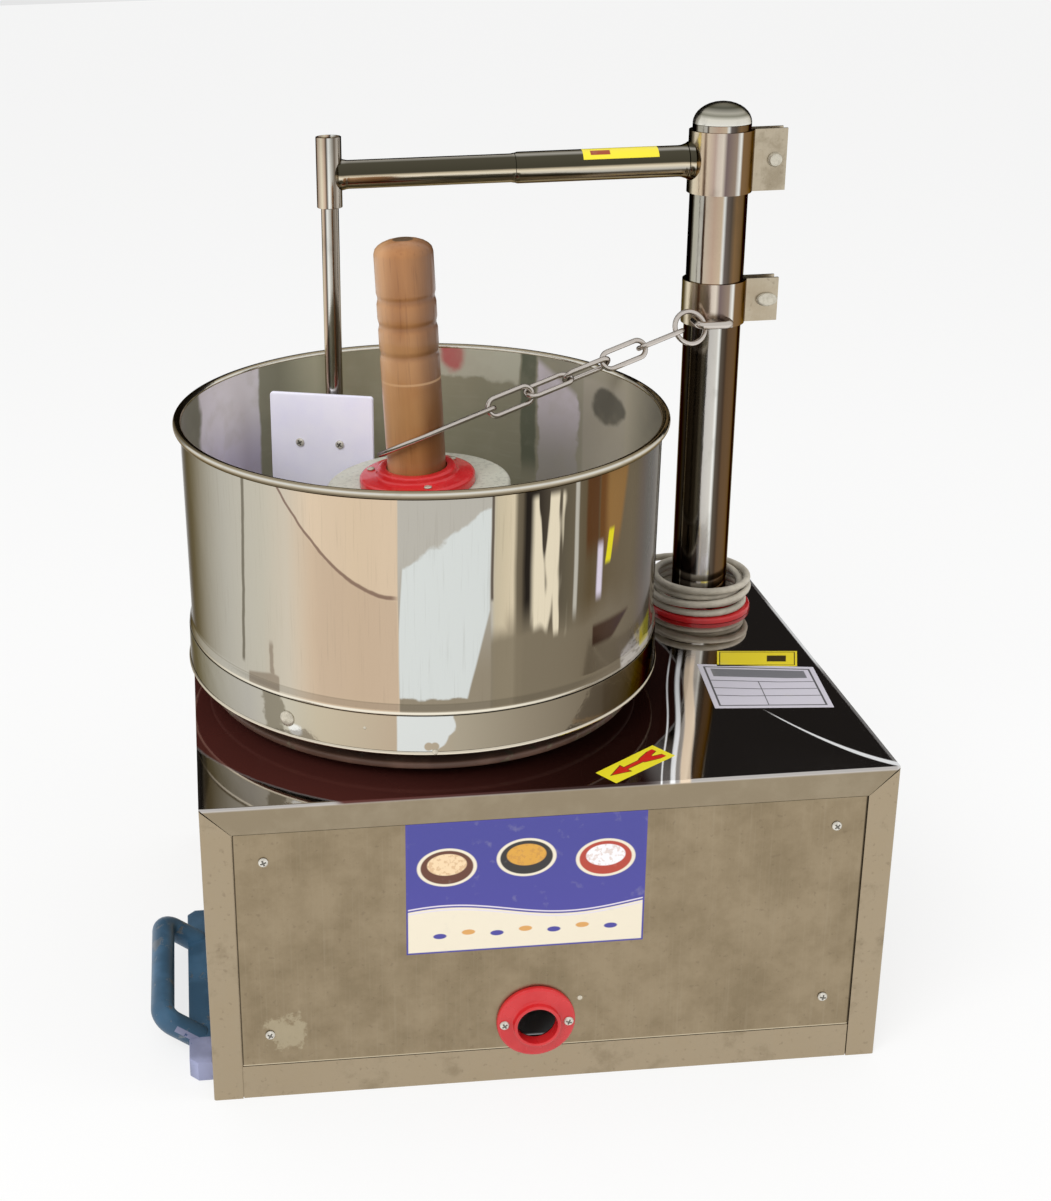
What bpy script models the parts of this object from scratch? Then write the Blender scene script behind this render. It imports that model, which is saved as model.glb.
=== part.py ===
"""Wet grinder: stainless cabinet, belt driven drum with stones, column, scraper arm and chain.

Units are metres, +Z is up and the front faces -Y. The cabinet stands on z = 0. The origin is the
middle of the machine's footprint, so the cabinet's middle lies half the port's reach behind it.
"""

import bmesh
import bpy
from math import acos, asin, atan2, cos, floor, pi, radians, sin, sqrt
from mathutils import Matrix, Vector

# Fits shared by the whole machine
TOUCH_GAP = 0.0003          # between pieces that rest on or are fixed to each other
RUN_GAP = 0.0008            # between pieces that turn past each other
CUT_OVERRUN = 0.004         # how far a cutter reaches past what it cuts
ROUND_STEPS = 36
MEDIUM_STEPS = 24
SMALL_STEPS = 10
WELD_DISTANCE = 0.00001

# Cabinet
CABINET_WIDTH = 0.554
CABINET_DEPTH = 0.421
CABINET_HEIGHT = 0.272
SHEET = 0.0012
FRONT_BORDER = 0.024
BOTTOM_RAIL_HEIGHT = 0.031
PANEL_INSET = 0.0006
PANEL_EDGE_GAP = 0.0007
FRONT_FRAME_THICKNESS = 0.002
FRONT_FRAME_BAR = 0.036
PANEL_SCREW_FROM_SIDE = 0.0235
PANEL_SCREW_FROM_TOP = 0.025
PANEL_SCREW_FROM_BOTTOM = 0.029
SCREW_HEAD_RADIUS = 0.0040
SCREW_HEAD_HEIGHT = 0.0022
SCREW_SHANK_RADIUS = 0.0019

# Port in the front panel
PORT_X = -0.011
PORT_Z = 0.0575
PORT_FLANGE_RADIUS = 0.0325
PORT_COLLAR_RADIUS = 0.0195
PORT_BORE_RADIUS = 0.0165
PORT_FLANGE_THICKNESS = 0.004
PORT_COLLAR_HEIGHT = 0.006
PORT_SCREW_OFFSET = 0.0265

# Base frame and the members that carry the drive
BASE_BAR_WIDTH = 0.025
BASE_BAR_HEIGHT = 0.020
MOTOR_PLATE_WIDTH = 0.195
MOTOR_PLATE_THICKNESS = 0.004
DECK_RAIL_WIDTH = 0.030
DECK_RAIL_HEIGHT = 0.022

# Side handles
HANDLE_MIDDLE_Y = -0.073
HANDLE_BAR_LENGTH = 0.224
HANDLE_BAR_DEPTH = 0.019
HANDLE_BAR_HEIGHT = 0.018
HANDLE_BAR_CHAMFER = 0.007
HANDLE_TUBE_RADIUS = 0.0102
HANDLE_LEG_SPACING = 0.139
HANDLE_REACH = 0.041
HANDLE_ROOT_Z = 0.0112
HANDLE_RISE = 0.0225
HANDLE_BEND_RADIUS = 0.012

# Drum
DRUM_X = -0.076
DRUM_Y = 0.0
DRUM_TOP = 0.2495           # above the deck, like the drum's other heights
DRUM_FLOOR = 0.0645
SKIRT_BOTTOM = 0.031
DRUM_RADIUS_TOP = 0.2018
DRUM_RADIUS_BOTTOM = 0.2000
DRUM_WALL = 0.0012
RIM_BEAD_RADIUS = 0.0036
FLOOR_BEAD_REACH = 0.0022
FLOOR_BEAD_HEIGHT = 0.009
SKIRT_RADIUS = 0.2033
SKIRT_BEAD_RADIUS = 0.0016
CARRIER_RADIUS = 0.188
CARRIER_UNDERSIDE = 0.010
CARRIER_PLATE = 0.006
CARRIER_RING_RADIUS = 0.150
CARRIER_RING_WALL = 0.010
CARRIER_HUB_RADIUS = 0.040

# Stones
STONE_RADIUS = 0.150
STONE_HEIGHT = 0.046
STONE_FILLET = 0.010
PESTLE_RADIUS = 0.079
PESTLE_PIVOT = 0.153        # centre of the pestle's round lower end, above the deck
PESTLE_TOP = 0.183
PESTLE_EDGE = 0.004
PIT_GAP = 0.0010
PESTLE_TILT_DEGREES = -3.0

# Pestle collar and wooden handle
COLLAR_RADIUS = 0.0495
COLLAR_THICKNESS = 0.009
COLLAR_BOSS_RADIUS = 0.0335
COLLAR_BOSS_HEIGHT = 0.006
GRIP_BASE_RADIUS = 0.0255
GRIP_TOP_RADIUS = 0.0246
GRIP_LENGTH = 0.2115
GRIP_DOME_HEIGHT = 0.011
GRIP_GROOVE_DEPTH = 0.0010
GRIP_GROOVE_WIDTH = 0.010
GRIP_GROOVE_SHARES = (0.550, 0.665, 0.770)

# Drive
DRUM_PULLEY_RADIUS = 0.120  # at the root of the groove
MOTOR_PULLEY_RADIUS = 0.018
PULLEY_FLANGE = 0.007
PULLEY_WIDTH = 0.022
BELT_WIDTH = 0.012
BELT_THICKNESS = 0.008
BELT_SEAT_GAP = 0.0006
BELT_Z = 0.170
SHAFT_RADIUS = 0.0125
MOTOR_OFFSET = 0.220
MOTOR_RADIUS = 0.070
MOTOR_HEIGHT = 0.126
MOTOR_EDGE = 0.006
MOTOR_SHAFT_RADIUS = 0.0075
MOTOR_SHAFT_SINK = 0.030
PULLEY_HUB_RADIUS = 0.026
PULLEY_WEB = 0.008
HOUSING_RADIUS = 0.037
HOUSING_FLANGE_RADIUS = 0.074
HOUSING_FLANGE = 0.008
HOUSING_TOP = 0.006         # above the deck
HOUSING_BOTTOM = 0.188
BEARING_RADIUS = 0.026
BEARING_WIDTH = 0.015
BEARING_INSET = 0.002
CAPACITOR_RADIUS = 0.018
CAPACITOR_HEIGHT = 0.070
CAPACITOR_X = 0.078
CAPACITOR_Y = 0.125

# Column
COLUMN_X = 0.209
COLUMN_Y = 0.119
COLUMN_RADIUS = 0.0254
COLUMN_WALL = 0.0020
COLUMN_ABOVE_ARM = 0.032    # from the arm's axis to the tube's upper end
CAP_HEIGHT = 0.0185
CAP_SPIGOT = 0.012
FOOT_FLANGE_RADIUS = 0.0485
FOOT_FLANGE_THICKNESS = 0.005
DECK_HOLE_GAP = 0.001

# Clamps on the column
CLAMP_WALL = 0.0026
CLAMP_SLOT = 0.0100
CLAMP_EAR_REACH = 0.0570
ARM_CLAMP_BELOW = 0.0280    # from the arm's axis to the clamp's lower edge
ARM_CLAMP_HEIGHT = 0.0545
CHAIN_CLAMP_BOTTOM = 0.281  # above the deck
CHAIN_CLAMP_HEIGHT = 0.0395
CLAMP_BOLT_X = 0.0465
CLAMP_BOLT_RADIUS = 0.004
BOLT_HEAD_RADIUS = 0.0065
BOLT_HEAD_HEIGHT = 0.0045
BOLT_TAIL = 0.006

# Arm and scraper
ARM_Z = 0.4275              # above the deck
SCRAPER_BEYOND_AXIS = 0.0616    # from the drum's axis, away from the column
ARM_LENGTH = COLUMN_X - DRUM_X + SCRAPER_BEYOND_AXIS
ARM_STEP = 0.184
ARM_RADIUS = 0.0138
ARM_THIN_RADIUS = 0.0125
ARM_TUBE_WALL = 0.0015
SOCKET_RADIUS = 0.0112
SOCKET_ABOVE = 0.0335        # from the arm's axis
SOCKET_BELOW = 0.028
SOCKET_CAP = 0.003
ROD_RADIUS = 0.0078
SCRAPER_YAW_DEGREES = -20.0
PADDLE_LEFT = 0.0565
PADDLE_RIGHT = 0.0395
PADDLE_TOP = 0.232
PADDLE_BOTTOM = 0.118
PADDLE_THICKNESS = 0.005
BRACKET_THICKNESS = 0.003
BRACKET_HEIGHT = 0.022
BRACKET_Z = 0.186
PADDLE_SCREW_LEFT = 0.0290
PADDLE_SCREW_RIGHT = 0.0085

# Chain and hook
CHAIN_WIRE_RADIUS = 0.0023
CHAIN_GAP = 0.0006
CHAIN_LINK_WIDTH = 0.0155   # between the wire centres
CHAIN_ROLLS_DEGREES = (25.0, 115.0, 50.0, -12.0, -75.0)
HOOK_RING_RADIUS = 0.0145
HOOK_RING_ROLL_DEGREES = 115.0
LOOP_RADIUS = 0.0322
LOOP_APEX_RADIUS = 0.007
LOOP_REACH = 0.070
LOOP_ROLL_DEGREES = 25.0
LOOP_Z = 0.2205             # above the deck, where the loop crosses the pestle's axis
HOOK_ROD_RADIUS = 0.0035
HOOK_LEFT = 0.0230
HOOK_RIGHT = 0.0050
HOOK_REACH = 0.0400
HOOK_Z = 0.2874
HOOK_BEND_RADIUS = 0.006
RING_X = -0.0303            # from the column's axis
RING_Y = -0.0340
RING_Z = 0.2848

# Mains cord
CORD_RADIUS = 0.00325
COIL_LAYERS = 4
COIL_TURNS_PER_LAYER = 1.25
COIL_OUTER_RADIUS = 0.0470
COIL_TURN_PITCH = 0.0074
COIL_LAYER_PITCH = 0.0074
COIL_POINTS_PER_TURN = 20
COIL_CLIMB_TURNS = 0.5
COIL_LEAD = 0.030
COIL_LEAD_SHARES = (1.0, 0.7, 0.35)
COIL_END_SHARES = (1.5, 4.0)
GLAND_LENGTH = 0.016
GLAND_WIDTH = 0.015
GLAND_EDGE = 0.002
TAIL_ROUTE = (
    (0.1705, 0.1682, 0.0283),
    (0.1518, 0.1735, 0.0217),
    (0.1330, 0.1788, 0.0150),
)
PLUG_X = 0.108
PLUG_Y = 0.181
PLUG_LENGTH = 0.044
PLUG_WIDTH = 0.034
PLUG_HEIGHT = 0.024
PLUG_EDGE = 0.005
PIN_LENGTH = 0.019
PIN_RADIUS = 0.0025
PIN_SPREAD = 0.0085
PIN_PLACES = ((-1, -0.4), (1, -0.4), (0, 0.6))

# Values worked out from the sizes above
PORT_REACH = PORT_FLANGE_THICKNESS + PORT_COLLAR_HEIGHT - PANEL_INSET + TOUCH_GAP
FRONT_Y = -CABINET_DEPTH / 2
DECK = CABINET_HEIGHT
BASE_HALF_WIDTH = CABINET_WIDTH / 2 - SHEET - TOUCH_GAP
FRAME_FRONT = FRONT_Y + PANEL_INSET + SHEET + TOUCH_GAP
BASE_HALF_DEPTH = -FRAME_FRONT - FRONT_FRAME_THICKNESS - TOUCH_GAP
PLATE_TOP = BASE_BAR_HEIGHT + TOUCH_GAP + MOTOR_PLATE_THICKNESS
RAIL_TOP = DECK - SHEET - TOUCH_GAP
CLAMP_INNER = COLUMN_RADIUS + TOUCH_GAP
COLUMN_TOP = ARM_Z + COLUMN_ABOVE_ARM
SOCKET_TOP = ARM_Z + SOCKET_ABOVE
SOCKET_BOTTOM = ARM_Z - SOCKET_BELOW
CLAMP_OUTER = CLAMP_INNER + CLAMP_WALL
MOTOR_X = DRUM_X + MOTOR_OFFSET


def remove_scene_objects():
    """Empty the scene that the file opens with."""
    for item in list(bpy.data.objects):
        bpy.data.objects.remove(item, do_unlink=True)


def new_collection(name):
    """Make a collection and link it to the scene."""
    collection = bpy.data.collections.new(name)
    bpy.context.scene.collection.children.link(collection)
    return collection


def material(name, color, roughness, metallic):
    """Make a Principled material."""
    result = bpy.data.materials.new(name)
    result.use_nodes = True
    shader = result.node_tree.nodes["Principled BSDF"]
    shader.inputs["Base Color"].default_value = (*color, 1.0)
    shader.inputs["Roughness"].default_value = roughness
    shader.inputs["Metallic"].default_value = metallic
    return result


class Shop:
    """Holds the collections and materials, and makes the pieces from them."""

    def __init__(self):
        remove_scene_objects()
        self.parts = new_collection("wet_grinder")
        self.cutters = new_collection("cutters")
        self.frames = {}
        self.materials = {
            "mirror_steel": material("mirror_steel", (0.62, 0.60, 0.56), 0.12, 1.0),
            "satin_steel": material("satin_steel", (0.42, 0.37, 0.30), 0.38, 1.0),
            "dark_steel": material("dark_steel", (0.16, 0.16, 0.17), 0.50, 0.9),
            "brown_primer": material("brown_primer", (0.085, 0.030, 0.024), 0.55, 0.0),
            "cast_iron": material("cast_iron", (0.10, 0.11, 0.12), 0.65, 0.6),
            "screw_steel": material("screw_steel", (0.66, 0.65, 0.62), 0.25, 1.0),
            "red_plastic": material("red_plastic", (0.62, 0.03, 0.05), 0.32, 0.0),
            "blue_paint": material("blue_paint", (0.05, 0.14, 0.30), 0.40, 0.0),
            "granite": material("granite", (0.45, 0.47, 0.44), 0.80, 0.0),
            "wood": material("wood", (0.50, 0.28, 0.11), 0.55, 0.0),
            "white_plastic": material("white_plastic", (0.66, 0.63, 0.85), 0.35, 0.0),
            "black_rubber": material("black_rubber", (0.02, 0.02, 0.02), 0.70, 0.0),
            "cord_grey": material("cord_grey", (0.38, 0.34, 0.28), 0.50, 0.0),
            "motor_paint": material("motor_paint", (0.12, 0.16, 0.14), 0.45, 0.0),
        }

    def frame(self, name, location, parent=None, tilt=0.0, yaw=0.0):
        """Make an empty that carries the pieces of one assembly."""
        empty = bpy.data.objects.new(name, None)
        self.parts.objects.link(empty)
        empty.location = location
        empty.rotation_euler = (0.0, tilt, yaw)
        empty.parent = self.frames.get(parent)
        self.frames[name] = empty
        return name

    def place(self, item, frame, finish):
        """Give a piece its collection, parent and material, or make it a cutter."""
        (self.parts if finish else self.cutters).objects.link(item)
        item.parent = self.frames.get(frame)
        if finish:
            item.data.materials.append(self.materials[finish])
        else:
            item.hide_render = True
            item.display_type = "WIRE"
        return item

    def from_bmesh(self, name, shape, frame, finish, location=(0, 0, 0), smooth=False):
        """Turn a bmesh into a placed object."""
        mesh = bpy.data.meshes.new(name)
        shape.to_mesh(mesh)
        shape.free()
        if smooth:
            mesh.shade_smooth()
            mesh.set_sharp_from_angle(angle=radians(35))
        item = bpy.data.objects.new(name, mesh)
        item.location = location
        return self.place(item, frame, finish)

    def box(self, name, low, high, frame, finish, edge=0.0, segments=2):
        """Make a box between two corners, with its edges rounded by edge."""
        size = Vector(high) - Vector(low)
        middle = (Vector(high) + Vector(low)) / 2
        shape = bmesh.new()
        bmesh.ops.create_cube(shape, size=1.0, matrix=Matrix.Diagonal((*size, 1.0)))
        item = self.from_bmesh(name, shape, frame, finish, middle)
        if edge > 0.0:
            bevel = item.modifiers.new("edges", "BEVEL")
            bevel.width = edge
            bevel.segments = segments
            bevel.limit_method = "ANGLE"
        return item

    def cylinder(self, name, radius, low, high, frame, finish, steps=ROUND_STEPS, centre=(0, 0),
                 axis="Z"):
        """Make a cylinder along an axis of its frame, from low to high."""
        shape = bmesh.new()
        bmesh.ops.create_cone(shape, cap_ends=True, segments=steps, radius1=radius,
                              radius2=radius, depth=high - low)
        middle = (low + high) / 2
        if axis == "Y":
            bmesh.ops.rotate(shape, verts=shape.verts, matrix=Matrix.Rotation(pi / 2, 3, "X"))
            location = (centre[0], middle, centre[1])
        elif axis == "X":
            bmesh.ops.rotate(shape, verts=shape.verts, matrix=Matrix.Rotation(pi / 2, 3, "Y"))
            location = (middle, centre[0], centre[1])
        else:
            location = (centre[0], centre[1], middle)
        return self.from_bmesh(name, shape, frame, finish, location, smooth=True)

    def turned(self, name, profile, frame, finish, location=(0, 0, 0), steps=ROUND_STEPS,
               rotation=(0, 0, 0)):
        """Spin a closed profile of (radius, height) pairs; its outer side runs downwards."""
        mesh = bpy.data.meshes.new(name)
        count = len(profile)
        solid = profile[0][0] == 0.0 and profile[-1][0] == 0.0
        edges = [(i, i + 1) for i in range(count - 1)] + ([] if solid else [(count - 1, 0)])
        mesh.from_pydata([(r, 0.0, z) for r, z in profile], edges, [])
        item = bpy.data.objects.new(name, mesh)
        item.location = location
        item.rotation_euler = rotation
        screw = item.modifiers.new("turned", "SCREW")
        screw.steps = screw.render_steps = steps
        screw.use_merge_vertices = True
        screw.merge_threshold = WELD_DISTANCE
        screw.use_smooth_shade = True
        return self.place(item, frame, finish)

    def tube(self, name, points, radius, frame, finish, cyclic=False, sides=8,
             location=(0, 0, 0)):
        """Sweep a round section along points."""
        curve = bpy.data.curves.new(name, "CURVE")
        curve.dimensions = "3D"
        curve.bevel_depth = radius
        curve.bevel_resolution = sides // 2 - 2
        curve.use_fill_caps = not cyclic
        curve.twist_mode = "MINIMUM"
        spline = curve.splines.new("POLY")
        spline.points.add(len(points) - 1)
        for slot, point in zip(spline.points, points):
            slot.co = (*point, 1.0)
        spline.use_cyclic_u = cyclic
        item = bpy.data.objects.new(name, curve)
        item.location = location
        return self.place(item, frame, finish)

    def outline(self, name, loops, half_height, frame, finish, location):
        """Extrude a flat outline; loops after the first are holes."""
        curve = bpy.data.curves.new(name, "CURVE")
        curve.dimensions = "2D"
        curve.fill_mode = "BOTH"
        curve.extrude = half_height
        for loop in loops:
            spline = curve.splines.new("POLY")
            spline.points.add(len(loop) - 1)
            for slot, (x, y) in zip(spline.points, loop):
                slot.co = (x, y, 0.0, 1.0)
            spline.use_cyclic_u = True
        item = bpy.data.objects.new(name, curve)
        item.location = location
        return self.place(item, frame, finish)

    def as_mesh(self, item):
        """Replace a curve object by the welded mesh of its evaluated form."""
        bpy.context.view_layer.update()
        graph = bpy.context.evaluated_depsgraph_get()
        mesh = bpy.data.meshes.new_from_object(item.evaluated_get(graph))
        shape = bmesh.new()
        shape.from_mesh(mesh)
        bmesh.ops.remove_doubles(shape, verts=shape.verts, dist=WELD_DISTANCE)
        bmesh.ops.recalc_face_normals(shape, faces=shape.faces)
        shape.to_mesh(mesh)
        shape.free()
        name, parent, spot, hidden = item.name, item.parent, item.matrix_world.copy(), item.hide_render
        owner = item.users_collection[0]
        bpy.data.objects.remove(item, do_unlink=True)
        result = bpy.data.objects.new(name, mesh)
        owner.objects.link(result)
        result.parent = parent
        result.matrix_world = spot
        result.hide_render = hidden
        result.display_type = "WIRE" if hidden else "TEXTURED"
        return result

    def combine(self, item, tool, operation="DIFFERENCE"):
        """Cut a tool out of a piece, or join it to the piece."""
        modifier = item.modifiers.new(tool.name, "BOOLEAN")
        modifier.operation = operation
        modifier.solver = "EXACT"
        modifier.object = tool
        return item

    def screw(self, name, frame, location, rotation=(0, 0, 0), shank=0.008):
        """Make a domed screw whose head sits on z = 0 of its own axes and points along +Z."""
        dome = [(SCREW_HEAD_RADIUS * cos(a), SCREW_HEAD_HEIGHT * sin(a))
                for a in (radians(60), radians(25))]
        profile = [(0.0, SCREW_HEAD_HEIGHT)] + dome + [
            (SCREW_HEAD_RADIUS, 0.0), (SCREW_SHANK_RADIUS, 0.0),
            (SCREW_SHANK_RADIUS, -shank), (0.0, -shank)]
        return self.turned(name, profile, frame, "screw_steel", location, SMALL_STEPS, rotation)


def arc(centre, radius, start, end, steps):
    """Points on an arc in a plane, angles in radians, both ends included."""
    return [(centre[0] + radius * cos(start + (end - start) * i / steps),
             centre[1] + radius * sin(start + (end - start) * i / steps))
            for i in range(steps + 1)]


def tangent_loop(radius_a, radius_b, distance, steps_a, steps_b):
    """Outline of a band round two circles, a at the origin and b at +X distance."""
    lean = acos((radius_a - radius_b) / distance)
    return (arc((0.0, 0.0), radius_a, lean, 2 * pi - lean, steps_a)
            + arc((distance, 0.0), radius_b, -lean, lean, steps_b))


def rounded_path(corners, radius, steps=5):
    """Replace each inner corner of a path by an arc that touches both its sides."""
    points = [Vector(corners[0])]
    for before, corner, after in zip(corners, corners[1:], corners[2:]):
        corner = Vector(corner)
        u = (Vector(before) - corner).normalized()
        v = (Vector(after) - corner).normalized()
        half = u.angle(v) / 2
        centre = corner + (u + v).normalized() * radius / sin(half)
        first = corner + u * radius / (sin(half) / cos(half)) - centre
        last = corner + v * radius / (sin(half) / cos(half)) - centre
        points += [centre + first.slerp(last, i / steps).normalized() * radius
                   for i in range(steps + 1)]
    return points + [Vector(corners[-1])]


def smooth_path(points, per_span):
    """Read a Catmull-Rom curve through the points."""
    points = [Vector(p) for p in points]
    padded = [2 * points[0] - points[1]] + points + [2 * points[-1] - points[-2]]
    result = []
    for a, b, c, d in zip(padded, padded[1:], padded[2:], padded[3:]):
        for i in range(per_span):
            t = i / per_span
            result.append(0.5 * (2 * b + (c - a) * t + (2 * a - 5 * b + 4 * c - d) * t ** 2
                                 + (3 * b - a - 3 * c + d) * t ** 3))
    return result + [points[-1]]


def build_cabinet(shop, frame):
    """Folded sheet cabinet, open below, with its screwed front panel and base frame."""
    half_w = CABINET_WIDTH / 2
    half_d = CABINET_DEPTH / 2
    inner_w = half_w - SHEET
    wall_top = DECK - SHEET - TOUCH_GAP

    wrap = shop.box("cabinet_wrap", (-half_w, -half_d, 0), (half_w, half_d, wall_top), frame,
                    "satin_steel")
    hollow = shop.box("wrap_hollow", (-inner_w, -half_d + SHEET, -CUT_OVERRUN),
                      (inner_w, half_d - SHEET, wall_top + CUT_OVERRUN), frame, None)
    shop.combine(wrap, hollow)
    mitre = TOUCH_GAP
    border_x = half_w - FRONT_BORDER
    opening = shop.outline("front_cut", [[
        (-border_x, -CUT_OVERRUN), (border_x, -CUT_OVERRUN),
        (border_x, DECK - FRONT_BORDER - mitre), (half_w, DECK - SHEET - mitre),
        (half_w, DECK + CUT_OVERRUN), (-half_w, DECK + CUT_OVERRUN),
        (-half_w, DECK - SHEET - mitre), (-border_x, DECK - FRONT_BORDER - mitre)]],
        SHEET + CUT_OVERRUN, frame, None, (0, -half_d - CUT_OVERRUN, 0))
    opening.rotation_euler = (pi / 2, 0, 0)
    opening = shop.as_mesh(opening)
    shop.combine(wrap, opening)

    deck = shop.box("cabinet_deck", (-half_w, -half_d, DECK - SHEET), (half_w, half_d, DECK),
                    frame, "mirror_steel")
    lip = shop.outline("deck_lip", [[
        (-half_w, DECK - SHEET / 2), (-half_w, DECK - SHEET), (-border_x, DECK - FRONT_BORDER),
        (border_x, DECK - FRONT_BORDER), (half_w, DECK - SHEET), (half_w, DECK - SHEET / 2)]],
        SHEET / 2, frame, None, (0, -half_d + SHEET / 2, 0))
    lip.rotation_euler = (pi / 2, 0, 0)
    lip = shop.as_mesh(lip)
    shop.combine(deck, lip, "UNION")
    for name, spot, radius in (
            ("deck_shaft_hole", (DRUM_X, DRUM_Y), HOUSING_RADIUS + DECK_HOLE_GAP),
            ("deck_column_hole", (COLUMN_X, COLUMN_Y), COLUMN_RADIUS + TOUCH_GAP)):
        hole = shop.cylinder(name, radius, DECK - SHEET - CUT_OVERRUN, DECK + CUT_OVERRUN, frame,
                             None, centre=spot)
        shop.combine(deck, hole)

    frame_front = FRAME_FRONT
    ring = shop.box("front_frame", (-inner_w + TOUCH_GAP, frame_front, 0),
                    (inner_w - TOUCH_GAP, frame_front + FRONT_FRAME_THICKNESS, wall_top - SHEET),
                    frame, "satin_steel")
    bar = FRONT_FRAME_BAR + FRONT_BORDER
    window = shop.box("front_window", (-half_w + bar, -half_d - CUT_OVERRUN, BOTTOM_RAIL_HEIGHT),
                      (half_w - bar, frame_front + FRONT_FRAME_THICKNESS + CUT_OVERRUN,
                       DECK - bar), frame, None)
    shop.combine(ring, window)
    panel_front = -half_d + PANEL_INSET
    rail = shop.box("bottom_rail", (-border_x + PANEL_EDGE_GAP, panel_front, 0),
                    (border_x - PANEL_EDGE_GAP, frame_front + FRONT_FRAME_THICKNESS / 2,
                     BOTTOM_RAIL_HEIGHT), frame, None)
    shop.combine(ring, rail, "UNION")

    panel_x = border_x - PANEL_EDGE_GAP
    panel_low = BOTTOM_RAIL_HEIGHT + PANEL_EDGE_GAP
    panel_high = DECK - FRONT_BORDER - PANEL_EDGE_GAP
    panel = shop.box("front_panel", (-panel_x, panel_front, panel_low),
                     (panel_x, frame_front - TOUCH_GAP, panel_high), frame, "satin_steel")
    bore = shop.cylinder("panel_bore", PORT_BORE_RADIUS + TOUCH_GAP, -half_d - CUT_OVERRUN,
                         -half_d + CUT_OVERRUN, frame, None, centre=(PORT_X, PORT_Z), axis="Y")
    shop.combine(panel, bore)
    for row, height in enumerate((panel_high - PANEL_SCREW_FROM_TOP,
                                  panel_low + PANEL_SCREW_FROM_BOTTOM)):
        for column, side in enumerate((-1, 1)):
            spot = (side * (panel_x - PANEL_SCREW_FROM_SIDE), height)
            name = "panel_screw_%d" % (2 * row + column + 1)
            hole = shop.cylinder(name + "_hole", SCREW_SHANK_RADIUS + TOUCH_GAP,
                                 -half_d - CUT_OVERRUN,
                                 frame_front + FRONT_FRAME_THICKNESS + CUT_OVERRUN, frame, None,
                                 SMALL_STEPS, spot, "Y")
            shop.combine(panel, hole)
            shop.combine(ring, hole)
            shop.screw(name, frame, (spot[0], panel_front - TOUCH_GAP, spot[1]), (pi / 2, 0, 0))

    port_back = panel_front - TOUCH_GAP
    inner = PORT_BORE_RADIUS
    port = shop.turned("port_flange", [
        (PORT_COLLAR_RADIUS, PORT_FLANGE_THICKNESS + PORT_COLLAR_HEIGHT),
        (PORT_COLLAR_RADIUS, PORT_FLANGE_THICKNESS), (PORT_FLANGE_RADIUS, PORT_FLANGE_THICKNESS),
        (PORT_FLANGE_RADIUS, 0), (inner, 0),
        (inner, PORT_FLANGE_THICKNESS + PORT_COLLAR_HEIGHT)],
        frame, "red_plastic", (PORT_X, port_back, PORT_Z), rotation=(pi / 2, 0, 0))
    for index, side in enumerate((-1, 1)):
        name = "port_screw_%d" % (index + 1)
        spot = (PORT_X + side * PORT_SCREW_OFFSET, PORT_Z)
        hole = shop.cylinder(name + "_hole", SCREW_SHANK_RADIUS + TOUCH_GAP,
                             port_back - PORT_FLANGE_THICKNESS - CUT_OVERRUN,
                             -half_d + CUT_OVERRUN, frame, None, SMALL_STEPS, spot, "Y")
        shop.combine(port, hole)
        shop.combine(panel, hole)
        shop.screw(name, frame, (spot[0], port_back - PORT_FLANGE_THICKNESS - TOUCH_GAP, spot[1]),
                   (pi / 2, 0, 0))

    base = shop.box("base_frame", (-BASE_HALF_WIDTH, -BASE_HALF_DEPTH, 0),
                    (BASE_HALF_WIDTH, BASE_HALF_DEPTH, BASE_BAR_HEIGHT), frame, "dark_steel")
    inside = shop.box("base_inside", (-BASE_HALF_WIDTH + BASE_BAR_WIDTH,
                                      -BASE_HALF_DEPTH + BASE_BAR_WIDTH, -CUT_OVERRUN),
                      (BASE_HALF_WIDTH - BASE_BAR_WIDTH, BASE_HALF_DEPTH - BASE_BAR_WIDTH,
                       BASE_BAR_HEIGHT + CUT_OVERRUN), frame, None)
    shop.combine(base, inside)

    for name, side in (("deck_rail_left", -1), ("deck_rail_right", 1)):
        middle = DRUM_X + side * (HOUSING_RADIUS + DECK_RAIL_WIDTH / 2 + RUN_GAP)
        shop.box(name, (middle - DECK_RAIL_WIDTH / 2, -BASE_HALF_DEPTH, RAIL_TOP - DECK_RAIL_HEIGHT),
                 (middle + DECK_RAIL_WIDTH / 2, half_d - SHEET - TOUCH_GAP, RAIL_TOP), frame,
                 "dark_steel")


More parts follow.
